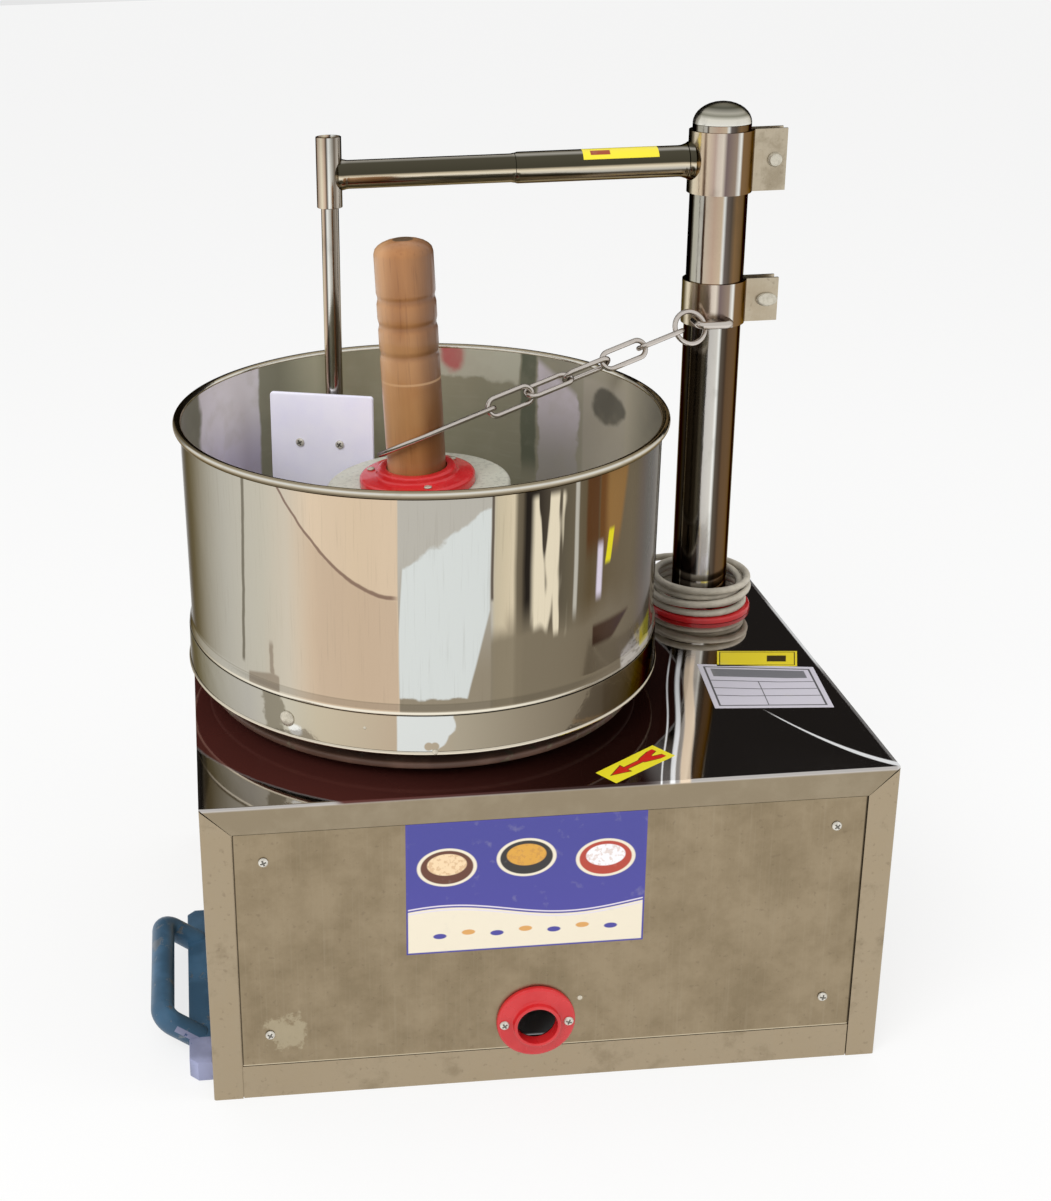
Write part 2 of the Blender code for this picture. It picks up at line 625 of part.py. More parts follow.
def build_handle(shop, frame, name, side):
    """Lifting handle: a bent tube welded to a flat bar along the foot of one side."""
    half_w = CABINET_WIDTH / 2
    near = half_w + TOUCH_GAP
    far = near + HANDLE_BAR_DEPTH
    middle = -side * HANDLE_MIDDLE_Y
    half_bar = HANDLE_BAR_LENGTH / 2
    bar = shop.outline(name, [[
        (side * near, middle - half_bar), (side * (far - HANDLE_BAR_CHAMFER), middle - half_bar),
        (side * far, middle - half_bar + HANDLE_BAR_CHAMFER),
        (side * far, middle + half_bar - HANDLE_BAR_CHAMFER),
        (side * (far - HANDLE_BAR_CHAMFER), middle + half_bar), (side * near, middle + half_bar)]],
        HANDLE_BAR_HEIGHT / 2, frame, "blue_paint", (0, 0, HANDLE_BAR_HEIGHT / 2))
    bar = shop.as_mesh(bar)
    root = side * (near + far) / 2
    tip = side * (half_w + HANDLE_REACH)
    tip_z = HANDLE_ROOT_Z + HANDLE_RISE
    ends = (middle - HANDLE_LEG_SPACING / 2, middle + HANDLE_LEG_SPACING / 2)
    path = rounded_path([(root, ends[0], HANDLE_ROOT_Z), (tip, ends[0], tip_z),
                         (tip, ends[1], tip_z), (root, ends[1], HANDLE_ROOT_Z)],
                        HANDLE_BEND_RADIUS)
    grip = shop.as_mesh(shop.tube(name + "_tube", path, HANDLE_TUBE_RADIUS, frame, None, sides=12))
    shop.combine(bar, grip, "UNION")


def build_drum(shop, frame):
    """Steel drum with its skirt, carrier, shaft and pulley; heights are above the deck."""
    outer_top, outer_low = DRUM_RADIUS_TOP, DRUM_RADIUS_BOTTOM
    rim = outer_top - DRUM_WALL + RIM_BEAD_RADIUS
    bead = [(rim + RIM_BEAD_RADIUS * cos(a), DRUM_TOP - RIM_BEAD_RADIUS
             + RIM_BEAD_RADIUS * sin(a)) for a in (radians(r) for r in range(180, -133, -52))]
    floor_z = DRUM_FLOOR
    profile = [(0.0, floor_z + DRUM_WALL), (outer_low - DRUM_WALL, floor_z + DRUM_WALL)]
    flare = outer_low + FLOOR_BEAD_REACH
    profile += bead + [(outer_low, floor_z + FLOOR_BEAD_HEIGHT),
                       (flare, floor_z + FLOOR_BEAD_REACH), (flare, floor_z), (0.0, floor_z)]
    shop.turned("drum_shell", profile, frame, "mirror_steel", (0, 0, DECK))

    top = floor_z - TOUCH_GAP
    inner = SKIRT_RADIUS - DRUM_WALL - SKIRT_BEAD_RADIUS / 2
    outer = inner + DRUM_WALL
    bead_z = SKIRT_BOTTOM + SKIRT_BEAD_RADIUS
    skirt = [(outer, top)] + [
        (outer + SKIRT_BEAD_RADIUS * cos(a), bead_z + SKIRT_BEAD_RADIUS * sin(a))
        for a in (radians(60), 0.0, radians(-60))] + [(inner, SKIRT_BOTTOM), (inner, top)]
    shop.turned("drum_skirt", skirt, frame, "mirror_steel", (0, 0, DECK))

    low = CARRIER_UNDERSIDE
    plate = low + CARRIER_PLATE
    bore = SHAFT_RADIUS + TOUCH_GAP
    shop.turned("carrier_plate", [(bore, plate), (CARRIER_RADIUS, plate), (CARRIER_RADIUS, low),
                                  (bore, low)], frame, "brown_primer", (0, 0, DECK))
    ring_in = CARRIER_RING_RADIUS - CARRIER_RING_WALL
    foot = plate + TOUCH_GAP
    carrier = [(bore, top - TOUCH_GAP), (CARRIER_RING_RADIUS, top - TOUCH_GAP),
               (CARRIER_RING_RADIUS, foot), (ring_in, foot), (ring_in, top - CARRIER_PLATE),
               (CARRIER_HUB_RADIUS, top - CARRIER_PLATE), (CARRIER_HUB_RADIUS, foot),
               (bore, foot)]
    shop.turned("drum_carrier", carrier, frame, "cast_iron", (0, 0, DECK))

    shop.cylinder("main_shaft", SHAFT_RADIUS, BELT_Z - PULLEY_WIDTH, DECK + top - TOUCH_GAP,
                  frame, "screw_steel", MEDIUM_STEPS)

    half = PULLEY_WIDTH / 2
    groove = (BELT_WIDTH + 2 * RUN_GAP) / 2
    rim_out = DRUM_PULLEY_RADIUS + PULLEY_FLANGE
    rim_in = DRUM_PULLEY_RADIUS - PULLEY_FLANGE
    web = PULLEY_WEB / 2
    pulley = [(bore, half), (PULLEY_HUB_RADIUS, half), (PULLEY_HUB_RADIUS, web), (rim_in, web),
              (rim_in, half), (rim_out, half), (rim_out, groove), (DRUM_PULLEY_RADIUS, groove),
              (DRUM_PULLEY_RADIUS, -groove), (rim_out, -groove), (rim_out, -half),
              (rim_in, -half), (rim_in, -web), (PULLEY_HUB_RADIUS, -web),
              (PULLEY_HUB_RADIUS, -half), (bore, -half)]
    shop.turned("drum_pulley", pulley, frame, "cast_iron", (0, 0, BELT_Z))

    pit_radius = PESTLE_RADIUS + PIT_GAP
    stone_low = floor_z + DRUM_WALL + TOUCH_GAP
    stone_top = stone_low + STONE_HEIGHT
    start = asin((stone_top - PESTLE_PIVOT) / pit_radius)
    pit = [(pit_radius * cos(a), PESTLE_PIVOT + pit_radius * sin(a))
           for a in (start - (start + pi / 2) * i / 7 for i in range(7))]
    bottom = PESTLE_PIVOT - pit_radius
    fillet = arc((STONE_RADIUS - STONE_FILLET, stone_top - STONE_FILLET), STONE_FILLET, pi / 2, 0, 2)
    stone = [(0.0, bottom)] + pit[::-1] + fillet + [(STONE_RADIUS, stone_low), (0.0, stone_low)]
    shop.turned("drum_stone", stone, frame, "granite", (0, 0, DECK))


def build_drive(shop, motor_frame, frame):
    """Bearings under the drum, and the motor with its belt."""
    flange_top = RAIL_TOP - DECK_RAIL_HEIGHT - TOUCH_GAP
    bore = BEARING_RADIUS + TOUCH_GAP
    housing = [(bore, DECK + HOUSING_TOP), (HOUSING_RADIUS, DECK + HOUSING_TOP),
               (HOUSING_RADIUS, flange_top), (HOUSING_FLANGE_RADIUS, flange_top),
               (HOUSING_FLANGE_RADIUS, flange_top - HOUSING_FLANGE),
               (HOUSING_RADIUS, flange_top - HOUSING_FLANGE), (HOUSING_RADIUS, HOUSING_BOTTOM),
               (bore, HOUSING_BOTTOM)]
    shop.turned("bearing_housing", housing, frame, "cast_iron", (DRUM_X, DRUM_Y, 0))
    ring = [(SHAFT_RADIUS + TOUCH_GAP, BEARING_WIDTH), (BEARING_RADIUS, BEARING_WIDTH),
            (BEARING_RADIUS, 0.0), (SHAFT_RADIUS + TOUCH_GAP, 0.0)]
    for name, height in (("bearing_upper", DECK + HOUSING_TOP - BEARING_INSET - BEARING_WIDTH),
                         ("bearing_lower", HOUSING_BOTTOM + BEARING_INSET)):
        shop.turned(name, ring, frame, "screw_steel", (DRUM_X, DRUM_Y, height), MEDIUM_STEPS)

    plate_x = MOTOR_X - MOTOR_RADIUS - CAPACITOR_RADIUS
    shop.box("motor_mount", (plate_x, -BASE_HALF_DEPTH, BASE_BAR_HEIGHT + TOUCH_GAP),
             (plate_x + MOTOR_PLATE_WIDTH, BASE_HALF_DEPTH, PLATE_TOP), frame, "dark_steel")
    foot = PLATE_TOP + TOUCH_GAP
    top = foot + MOTOR_HEIGHT
    motor = [(0.0, top), (MOTOR_RADIUS - MOTOR_EDGE, top), (MOTOR_RADIUS, top - MOTOR_EDGE),
             (MOTOR_RADIUS, foot + MOTOR_EDGE), (MOTOR_RADIUS - MOTOR_EDGE, foot), (0.0, foot)]
    body = shop.turned("motor_body", motor, frame, "motor_paint", (MOTOR_X, DRUM_Y, 0))
    sink = shop.cylinder("motor_shaft_bore", MOTOR_SHAFT_RADIUS + RUN_GAP, top - MOTOR_SHAFT_SINK,
                         top + CUT_OVERRUN, frame, None, MEDIUM_STEPS, (MOTOR_X, DRUM_Y))
    shop.combine(body, sink)
    shop.cylinder("motor_shaft", MOTOR_SHAFT_RADIUS, top - MOTOR_SHAFT_SINK + TOUCH_GAP,
                  BELT_Z + PULLEY_WIDTH / 2, motor_frame, "screw_steel", MEDIUM_STEPS)

    half = PULLEY_WIDTH / 2
    groove = (BELT_WIDTH + 2 * RUN_GAP) / 2
    bore = MOTOR_SHAFT_RADIUS + TOUCH_GAP
    rim = MOTOR_PULLEY_RADIUS + PULLEY_FLANGE
    pulley = [(bore, half), (rim, half), (rim, groove), (MOTOR_PULLEY_RADIUS, groove),
              (MOTOR_PULLEY_RADIUS, -groove), (rim, -groove), (rim, -half), (bore, -half)]
    shop.turned("motor_pulley", pulley, motor_frame, "cast_iron", (0, 0, BELT_Z), MEDIUM_STEPS)

    inner = tangent_loop(DRUM_PULLEY_RADIUS + BELT_SEAT_GAP, MOTOR_PULLEY_RADIUS + BELT_SEAT_GAP,
                         MOTOR_OFFSET, ROUND_STEPS, SMALL_STEPS)
    outer = tangent_loop(DRUM_PULLEY_RADIUS + BELT_SEAT_GAP + BELT_THICKNESS,
                         MOTOR_PULLEY_RADIUS + BELT_SEAT_GAP + BELT_THICKNESS, MOTOR_OFFSET,
                         ROUND_STEPS, SMALL_STEPS)
    belt = shop.outline("drive_belt", [outer, inner], BELT_WIDTH / 2, frame, "black_rubber",
                        (DRUM_X, DRUM_Y, BELT_Z))
    shop.as_mesh(belt)
    shop.cylinder("run_capacitor", CAPACITOR_RADIUS, foot, foot + CAPACITOR_HEIGHT, frame,
                  "white_plastic", MEDIUM_STEPS, (CAPACITOR_X, CAPACITOR_Y))


def build_column(shop, frame):
    """Column tube with its cap, foot flange and the clamp that holds the chain."""
    foot = PLATE_TOP + TOUCH_GAP
    top = DECK + COLUMN_TOP
    inner = COLUMN_RADIUS - COLUMN_WALL
    shop.turned("column_tube", [(inner, top), (COLUMN_RADIUS, top), (COLUMN_RADIUS, foot),
                                (inner, foot)], frame, "mirror_steel")
    low = top + TOUCH_GAP
    dome = [(COLUMN_RADIUS * cos(a), low + CAP_HEIGHT * sin(a))
            for a in (pi / 2 - pi / 2 * i / 6 for i in range(1, 7))]
    spigot = inner - TOUCH_GAP
    shop.turned("column_cap", [(0.0, low + CAP_HEIGHT)] + dome + [
        (spigot, low), (spigot, low - CAP_SPIGOT), (0.0, low - CAP_SPIGOT)], frame, "mirror_steel")
    bore = COLUMN_RADIUS + TOUCH_GAP
    bottom = DECK + TOUCH_GAP
    shop.turned("foot_flange", [(bore, bottom + FOOT_FLANGE_THICKNESS),
                                (FOOT_FLANGE_RADIUS, bottom + FOOT_FLANGE_THICKNESS),
                                (FOOT_FLANGE_RADIUS, bottom), (bore, bottom)], frame,
                "red_plastic")
    build_clamp(shop, "chain_clamp", frame, CHAIN_CLAMP_BOTTOM, CHAIN_CLAMP_HEIGHT)


def build_clamp(shop, name, frame, bottom, height, stub=None):
    """Split band on the column with two ears, their bolt and, if given, a stub joined to it."""
    low = DECK + bottom
    high = low + height
    band = shop.cylinder(name, CLAMP_OUTER, low, high, frame, "mirror_steel")
    half = CLAMP_SLOT / 2 + CLAMP_WALL
    ears = shop.box(name + "_ears", (COLUMN_RADIUS, -half, low), (CLAMP_EAR_REACH, half, high),
                    frame, None)
    shop.combine(band, ears, "UNION")
    if stub:
        shop.combine(band, stub, "UNION")
    slot = shop.box(name + "_slot", (COLUMN_RADIUS / 2, -CLAMP_SLOT / 2, low - CUT_OVERRUN),
                    (CLAMP_EAR_REACH + CUT_OVERRUN, CLAMP_SLOT / 2, high + CUT_OVERRUN), frame,
                    None)
    shop.combine(band, slot)
    bore = shop.cylinder(name + "_bore", CLAMP_INNER, low - CUT_OVERRUN, high + CUT_OVERRUN,
                         frame, None)
    shop.combine(band, bore)
    middle = (low + high) / 2
    hole = shop.cylinder(name + "_hole", CLAMP_BOLT_RADIUS + TOUCH_GAP, -half - CUT_OVERRUN,
                         half + CUT_OVERRUN, frame, None, SMALL_STEPS, (CLAMP_BOLT_X, middle), "Y")
    shop.combine(band, hole)
    head = half + TOUCH_GAP + BOLT_HEAD_HEIGHT
    bolt = [(0.0, head), (BOLT_HEAD_RADIUS, head), (BOLT_HEAD_RADIUS, head - BOLT_HEAD_HEIGHT),
            (CLAMP_BOLT_RADIUS, head - BOLT_HEAD_HEIGHT), (CLAMP_BOLT_RADIUS, -half - TOUCH_GAP),
            (BOLT_HEAD_RADIUS, -half - TOUCH_GAP), (BOLT_HEAD_RADIUS, -head),
            (CLAMP_BOLT_RADIUS, -head), (CLAMP_BOLT_RADIUS, -head - BOLT_TAIL),
            (0.0, -head - BOLT_TAIL)]
    shop.turned(name + "_bolt", bolt, frame, "screw_steel", (CLAMP_BOLT_X, 0, middle),
                SMALL_STEPS, (pi / 2, 0, 0))


def build_arm(shop, frame):
    """Clamp, two stage tube and socket that hold the scraper over the drum."""
    stub = shop.cylinder("arm_stub", ARM_RADIUS, -CLAMP_OUTER - CLAMP_WALL, -CLAMP_INNER / 2,
                         frame, None, MEDIUM_STEPS, (0, DECK + ARM_Z), "X")
    build_clamp(shop, "arm_clamp", frame, ARM_Z - ARM_CLAMP_BELOW, ARM_CLAMP_HEIGHT, stub)

    def tube(name, start, end, radius):
        profile = [(radius - ARM_TUBE_WALL, end), (radius, end), (radius, start),
                   (radius - ARM_TUBE_WALL, start)]
        return shop.turned(name, profile, frame, "mirror_steel", (0, 0, DECK + ARM_Z), MEDIUM_STEPS,
                           (0, -pi / 2, 0))

    tube("arm_tube", CLAMP_OUTER + CLAMP_WALL + TOUCH_GAP, ARM_STEP, ARM_RADIUS)
    extension = shop.cylinder("arm_extension", ARM_THIN_RADIUS, -ARM_LENGTH,
                              -ARM_STEP - TOUCH_GAP, frame, "mirror_steel", MEDIUM_STEPS,
                              (0, DECK + ARM_Z), "X")
    socket = shop.cylinder("socket_body", SOCKET_RADIUS, DECK + SOCKET_BOTTOM, DECK + SOCKET_TOP,
                           frame, None, MEDIUM_STEPS, (-ARM_LENGTH, 0))
    shop.combine(extension, socket, "UNION")
    bore = shop.cylinder("socket_bore", ROD_RADIUS + RUN_GAP, DECK + SOCKET_BOTTOM - CUT_OVERRUN,
                         DECK + SOCKET_TOP - SOCKET_CAP, frame, None, MEDIUM_STEPS, (-ARM_LENGTH, 0))
    shop.combine(extension, bore)


def build_scraper(shop, frame):
    """Rod that turns in the socket, its flat bracket, and the plastic paddle."""
    rod_top = DECK + SOCKET_TOP - SOCKET_CAP - TOUCH_GAP
    rod_low = DECK + BRACKET_Z - BRACKET_HEIGHT / 2
    rod = shop.cylinder("scraper_rod", ROD_RADIUS, rod_low, rod_top, frame, "mirror_steel",
                        MEDIUM_STEPS)
    face = -ROD_RADIUS - BRACKET_THICKNESS
    bracket = shop.box("scraper_bracket", (-PADDLE_SCREW_LEFT - SCREW_HEAD_RADIUS * 2, face, rod_low),
                       (PADDLE_SCREW_RIGHT + SCREW_HEAD_RADIUS * 2, -ROD_RADIUS / 2,
                        rod_low + BRACKET_HEIGHT), frame, None)
    shop.combine(rod, bracket, "UNION")
    back = face - TOUCH_GAP
    front = back - PADDLE_THICKNESS
    paddle = shop.box("scraper_paddle", (-PADDLE_LEFT, front, DECK + PADDLE_BOTTOM),
                      (PADDLE_RIGHT, back, DECK + PADDLE_TOP), frame, "white_plastic")
    for index, x in enumerate((-PADDLE_SCREW_LEFT, PADDLE_SCREW_RIGHT)):
        name = "paddle_screw_%d" % (index + 1)
        height = DECK + BRACKET_Z
        hole = shop.cylinder(name + "_hole", SCREW_SHANK_RADIUS + TOUCH_GAP, front - CUT_OVERRUN,
                             -ROD_RADIUS / 4, frame, None, SMALL_STEPS, (x, height), "Y")
        shop.combine(paddle, hole)
        shop.combine(rod, hole)
        shop.screw(name, frame, (x, front - TOUCH_GAP, height), (pi / 2, 0, 0))


def build_pestle(shop, frame):
    """Stone that stands in the drum's pit, its red collar and the turned wooden handle."""
    top = PESTLE_TOP - PESTLE_PIVOT
    below = [(PESTLE_RADIUS * cos(a), PESTLE_RADIUS * sin(a))
             for a in (-pi / 2 * i / 9 for i in range(9))]
    stone = ([(0.0, top), (PESTLE_RADIUS - PESTLE_EDGE, top), (PESTLE_RADIUS, top - PESTLE_EDGE)]
             + below + [(0.0, -PESTLE_RADIUS)])
    shop.turned("pestle_stone", stone, frame, "granite")

    low = top + TOUCH_GAP
    thick = low + COLLAR_THICKNESS
    boss = thick + COLLAR_BOSS_HEIGHT
    edge = COLLAR_THICKNESS / 4
    bore = GRIP_BASE_RADIUS + TOUCH_GAP
    collar = [(bore, boss), (COLLAR_BOSS_RADIUS, boss), (COLLAR_BOSS_RADIUS, thick),
              (COLLAR_RADIUS - edge, thick), (COLLAR_RADIUS, thick - edge), (COLLAR_RADIUS, low),
              (bore, low)]
    shop.turned("pestle_collar", collar, frame, "red_plastic")

    base = low
    end = base + GRIP_LENGTH
    shoulder = end - GRIP_DOME_HEIGHT

    def radius_at(height):
        share = (height - base) / (shoulder - base)
        return GRIP_BASE_RADIUS + (GRIP_TOP_RADIUS - GRIP_BASE_RADIUS) * share

    dome = [(GRIP_TOP_RADIUS * cos(a), shoulder + GRIP_DOME_HEIGHT * sin(a))
            for a in (radians(d) for d in (75, 55, 35, 15))]
    grooves = []
    for share in sorted(GRIP_GROOVE_SHARES, reverse=True):
        height = base + GRIP_LENGTH * share
        for step, depth in ((1, 0), (0, 1), (-1, 0)):
            z = height + step * GRIP_GROOVE_WIDTH / 2
            grooves.append((radius_at(z) - depth * GRIP_GROOVE_DEPTH, z))
    handle = ([(0.0, end)] + dome + [(GRIP_TOP_RADIUS, shoulder)] + grooves
              + [(GRIP_BASE_RADIUS, base), (0.0, base)])
    shop.turned("pestle_handle", handle, frame, "wood", steps=MEDIUM_STEPS)


def chain_geometry():
    """Work out the chain's run from the hook ring to the pestle handle's axis, in the column's frame."""
    tilt = radians(PESTLE_TILT_DEGREES)
    along = (LOOP_Z - PESTLE_PIVOT) / cos(tilt)
    finish = Vector((DRUM_X - COLUMN_X + along * sin(tilt), DRUM_Y - COLUMN_Y, DECK + LOOP_Z))
    start = Vector((RING_X, RING_Y, DECK + RING_Z))
    return start, finish


def build_chain(shop, frame):
    """Hook on the column clamp, its ring, five links and the loop round the handle."""
    hook_z = DECK + HOOK_Z
    seat = CLAMP_OUTER + TOUCH_GAP
    left_start = -sqrt(seat ** 2 - (HOOK_LEFT - HOOK_ROD_RADIUS) ** 2)
    right_start = -sqrt(seat ** 2 - (HOOK_RIGHT - HOOK_ROD_RADIUS) ** 2)
    path = rounded_path([(-HOOK_LEFT, left_start, hook_z), (-HOOK_LEFT, -HOOK_REACH, hook_z),
                         (HOOK_RIGHT, -HOOK_REACH, hook_z), (HOOK_RIGHT, right_start, hook_z)],
                        HOOK_BEND_RADIUS)
    shop.tube("chain_hook", path, HOOK_ROD_RADIUS, frame, "mirror_steel", sides=8)

    start, finish = chain_geometry()
    run = (finish - start).normalized()
    side = Vector((0, 0, 1)).cross(run).normalized()
    up = run.cross(side)
    wire = 2 * CHAIN_WIRE_RADIUS
    count = len(CHAIN_ROLLS_DEGREES)
    step = ((finish - start).length - HOOK_RING_RADIUS - LOOP_REACH - LOOP_APEX_RADIUS
            + wire + CHAIN_GAP) / count
    length = step + wire + CHAIN_GAP

    def oval(centre, roll, outline):
        across = side * cos(roll) + up * sin(roll)
        return [centre + run * x + across * y for x, y in outline]

    def link(name, centre, roll, outline):
        shop.tube(name, oval(centre, radians(roll), outline), CHAIN_WIRE_RADIUS, frame,
                  "mirror_steel", cyclic=True, sides=6)

    ring = arc((0, 0), HOOK_RING_RADIUS, 0, 2 * pi, 20)[:-1]
    link("chain_ring", start, HOOK_RING_ROLL_DEGREES, ring)
    end_radius = CHAIN_LINK_WIDTH / 2
    shank = length / 2 - end_radius
    outline = (arc((shank, 0), end_radius, -pi / 2, pi / 2, 7)
               + arc((-shank, 0), end_radius, pi / 2, 3 * pi / 2, 7))
    first = HOOK_RING_RADIUS - wire - CHAIN_GAP + length / 2
    for index, roll in enumerate(CHAIN_ROLLS_DEGREES):
        link("chain_link_%d" % (index + 1), start + run * (first + step * index), roll, outline)
    loop = [(-x, y) for x, y in tangent_loop(LOOP_RADIUS, LOOP_APEX_RADIUS, LOOP_REACH, 18, 6)]
    link("handle_loop", finish, LOOP_ROLL_DEGREES, loop)


def coil_points():
    """The wound cord's centre line round the column, from the gland to the top layer's end."""
    low = DECK + 2 * TOUCH_GAP + FOOT_FLANGE_THICKNESS + CORD_RADIUS
    turns = COIL_LAYERS * COIL_TURNS_PER_LAYER
    total = round(turns * COIL_POINTS_PER_TURN)
    first_angle = pi / 2 - 2 * pi * turns
    points = []
    for i in range(total + 1):
        turn = i / COIL_POINTS_PER_TURN
        layer = min(floor(turn / COIL_TURNS_PER_LAYER), COIL_LAYERS - 1)
        within = turn - layer * COIL_TURNS_PER_LAYER
        if layer % 2 == 0:
            radius = COIL_OUTER_RADIUS - COIL_TURN_PITCH * within
        else:
            radius = COIL_OUTER_RADIUS - COIL_TURN_PITCH * (COIL_TURNS_PER_LAYER - within)
        climb = 0.0
        for reversal in range(1, COIL_LAYERS):
            share = (turn - reversal * COIL_TURNS_PER_LAYER) / COIL_CLIMB_TURNS + 0.5
            share = min(max(share, 0.0), 1.0)
            climb += share * share * (3 - 2 * share)
        angle = first_angle + 2 * pi * turn
        points.append(Vector((radius * cos(angle), radius * sin(angle),
                              low + COIL_LAYER_PITCH * climb)))
    heading = Vector((sin(first_angle), -cos(first_angle), 0.0))
    lead = [points[0] + heading * COIL_LEAD * share for share in COIL_LEAD_SHARES]
    exit_heading = Vector((-1.0, 0.0, 0.0))
    tail = [points[-1] + exit_heading * CORD_RADIUS * share for share in COIL_END_SHARES]
    return lead + points + tail, heading, exit_heading


def least_gap(points, radius, skip):
    """Least clear distance between stretches of a tube that aren't neighbours."""
    least = 1.0
    for i, a in enumerate(points):
        for b in points[i + skip:]:
            least = min(least, (a - b).length - 2 * radius)
    return least


def build_cord(shop, frame, root):
    """Mains cord: gland on the deck, coil round the column, tail behind the drum and plug."""
    points, lead_heading, exit_heading = coil_points()
    shop.tube("cord_coil", points, CORD_RADIUS, frame, "cord_grey", sides=6)
    print("cord coil: least gap to itself %.2f mm"
          % (1000 * least_gap(points, CORD_RADIUS, COIL_POINTS_PER_TURN // 2)))

    yaw = atan2(lead_heading.y, lead_heading.x)
    spot = points[0] + lead_heading * (TOUCH_GAP + GLAND_LENGTH / 2)
    height = spot.z + CORD_RADIUS + GLAND_EDGE
    gland_frame = shop.frame("gland_frame", (spot.x, spot.y, 0), frame, yaw=yaw)
    half = GLAND_LENGTH / 2
    shop.box("cord_gland", (-half, -GLAND_WIDTH / 2, DECK + TOUCH_GAP),
             (half, GLAND_WIDTH / 2, height), gland_frame, "black_rubber", GLAND_EDGE)

    column = Vector((COLUMN_X, COLUMN_Y, 0))
    start = column + points[-1] + exit_heading * TOUCH_GAP
    plug_face = Vector((PLUG_X + TOUCH_GAP, PLUG_Y, DECK + TOUCH_GAP + PLUG_HEIGHT / 2))
    straight = 2 * CORD_RADIUS
    middle = [Vector((x, y, DECK + z)) for x, y, z in TAIL_ROUTE]
    route = ([start + exit_heading * straight] + middle
             + [plug_face - exit_heading * straight])
    shop.tube("cord_tail", [start] + smooth_path(route, 2) + [plug_face], CORD_RADIUS, root,
              "cord_grey", sides=8)

    low_z = DECK + TOUCH_GAP
    plug = shop.box("mains_plug", (PLUG_X - PLUG_LENGTH, PLUG_Y - PLUG_WIDTH / 2, low_z),
                    (PLUG_X, PLUG_Y + PLUG_WIDTH / 2, low_z + PLUG_HEIGHT), root, "black_rubber",
                    PLUG_EDGE)
    face = PLUG_X - PLUG_LENGTH
    middle_z = low_z + PLUG_HEIGHT / 2
    for index, (across, lift) in enumerate(PIN_PLACES):
        pin = shop.cylinder("plug_pin_%d" % (index + 1), PIN_RADIUS, face - PIN_LENGTH,
                            face + PLUG_EDGE, root, None, 12,
                            (PLUG_Y + across * PIN_SPREAD, middle_z + lift * PIN_SPREAD), "X")
        shop.combine(plug, pin, "UNION")


def main():
    """Build every assembly in its frame."""
    shop = Shop()
    root = shop.frame("grinder", (0, PORT_REACH / 2, 0))
    build_cabinet(shop, root)
    build_handle(shop, root, "side_handle_left", -1)
    build_handle(shop, root, "side_handle_right", 1)
    drum = shop.frame("drum_axis", (DRUM_X, DRUM_Y, 0), root)
    build_drum(shop, drum)
    motor = shop.frame("motor_axis", (MOTOR_X, DRUM_Y, 0), root)
    build_drive(shop, motor, root)
    column = shop.frame("column_axis", (COLUMN_X, COLUMN_Y, 0), root)
    build_column(shop, column)
    build_arm(shop, column)
    scraper = shop.frame("scraper_axis", (-ARM_LENGTH, 0, 0), column,
                         yaw=radians(SCRAPER_YAW_DEGREES))
    build_scraper(shop, scraper)
    pestle = shop.frame("pestle_axis", (DRUM_X, DRUM_Y, DECK + PESTLE_PIVOT), root,
                        tilt=radians(PESTLE_TILT_DEGREES))
    build_pestle(shop, pestle)
    build_chain(shop, column)
    build_cord(shop, column, root)


main()
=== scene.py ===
"""Looks of a table-top wet grinder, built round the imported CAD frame.

Metres, +Z up, the front faces -Y. Every piece is made in the frame of its own sub-assembly, keeps
its coordinates there in the attribute "made_at" for the materials, and is then put in its place.
"""

import logging
from collections.abc import Sequence
from dataclasses import dataclass, field
from enum import Enum
from math import acos, asin, atan2, cos, floor, pi, radians, sin, sqrt

import bmesh
import bpy
from mathutils import Matrix, Vector


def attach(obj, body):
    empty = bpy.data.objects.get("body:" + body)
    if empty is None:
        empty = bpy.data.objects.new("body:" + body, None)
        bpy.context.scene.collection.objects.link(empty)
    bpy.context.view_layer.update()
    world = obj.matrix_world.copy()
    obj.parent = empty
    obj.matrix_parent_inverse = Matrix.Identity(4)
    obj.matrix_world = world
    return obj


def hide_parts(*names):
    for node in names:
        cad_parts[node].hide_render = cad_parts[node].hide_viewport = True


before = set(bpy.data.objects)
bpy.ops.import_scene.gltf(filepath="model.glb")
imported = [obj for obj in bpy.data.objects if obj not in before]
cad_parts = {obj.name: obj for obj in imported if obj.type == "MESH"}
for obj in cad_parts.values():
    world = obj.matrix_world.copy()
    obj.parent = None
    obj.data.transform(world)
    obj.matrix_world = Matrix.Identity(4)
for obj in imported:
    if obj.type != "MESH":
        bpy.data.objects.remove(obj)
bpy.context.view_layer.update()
LOG = logging.getLogger("wet_grinder")

Tone = tuple[float, float, float, float]
Stops = Sequence[tuple[float, Tone]]
Point = tuple[float, float, float]
Spot = tuple[float, float]
Socket = bpy.types.NodeSocket
Paint = Tone | Socket
Shape = bmesh.types.BMesh
Item = bpy.types.Object

MIDDLE = Matrix.Translation((0.0, 0.00485, 0.0))
TO_FRONT = Matrix.Rotation(pi / 2, 4, "X")
DECK = 0.272
PANEL_FACE = -0.2105 + 0.0006
DRUM_AXIS = (-0.076, 0.0)
DRUM_TOP = 0.2495
DRUM_FLOOR = 0.0645
DRUM_BEAD = 0.0036
COLUMN_AXIS = (0.209, 0.119)
COLUMN_RADIUS = 0.0254
CLAMP_WALL = 0.0026
ARM_HEIGHT = 0.4275
PIPE_RADIUS = 0.0138
PIVOT = 0.153
TILT = -3.0
STONE_TOP = 0.030
GAP = 0.0003
GRIP_BASE = STONE_TOP + GAP
GRIP_LENGTH = 0.2115
GRIP_END = GRIP_BASE + GRIP_LENGTH
GROOVES = tuple(GRIP_BASE + GRIP_LENGTH * share for share in (0.550, 0.665, 0.770))
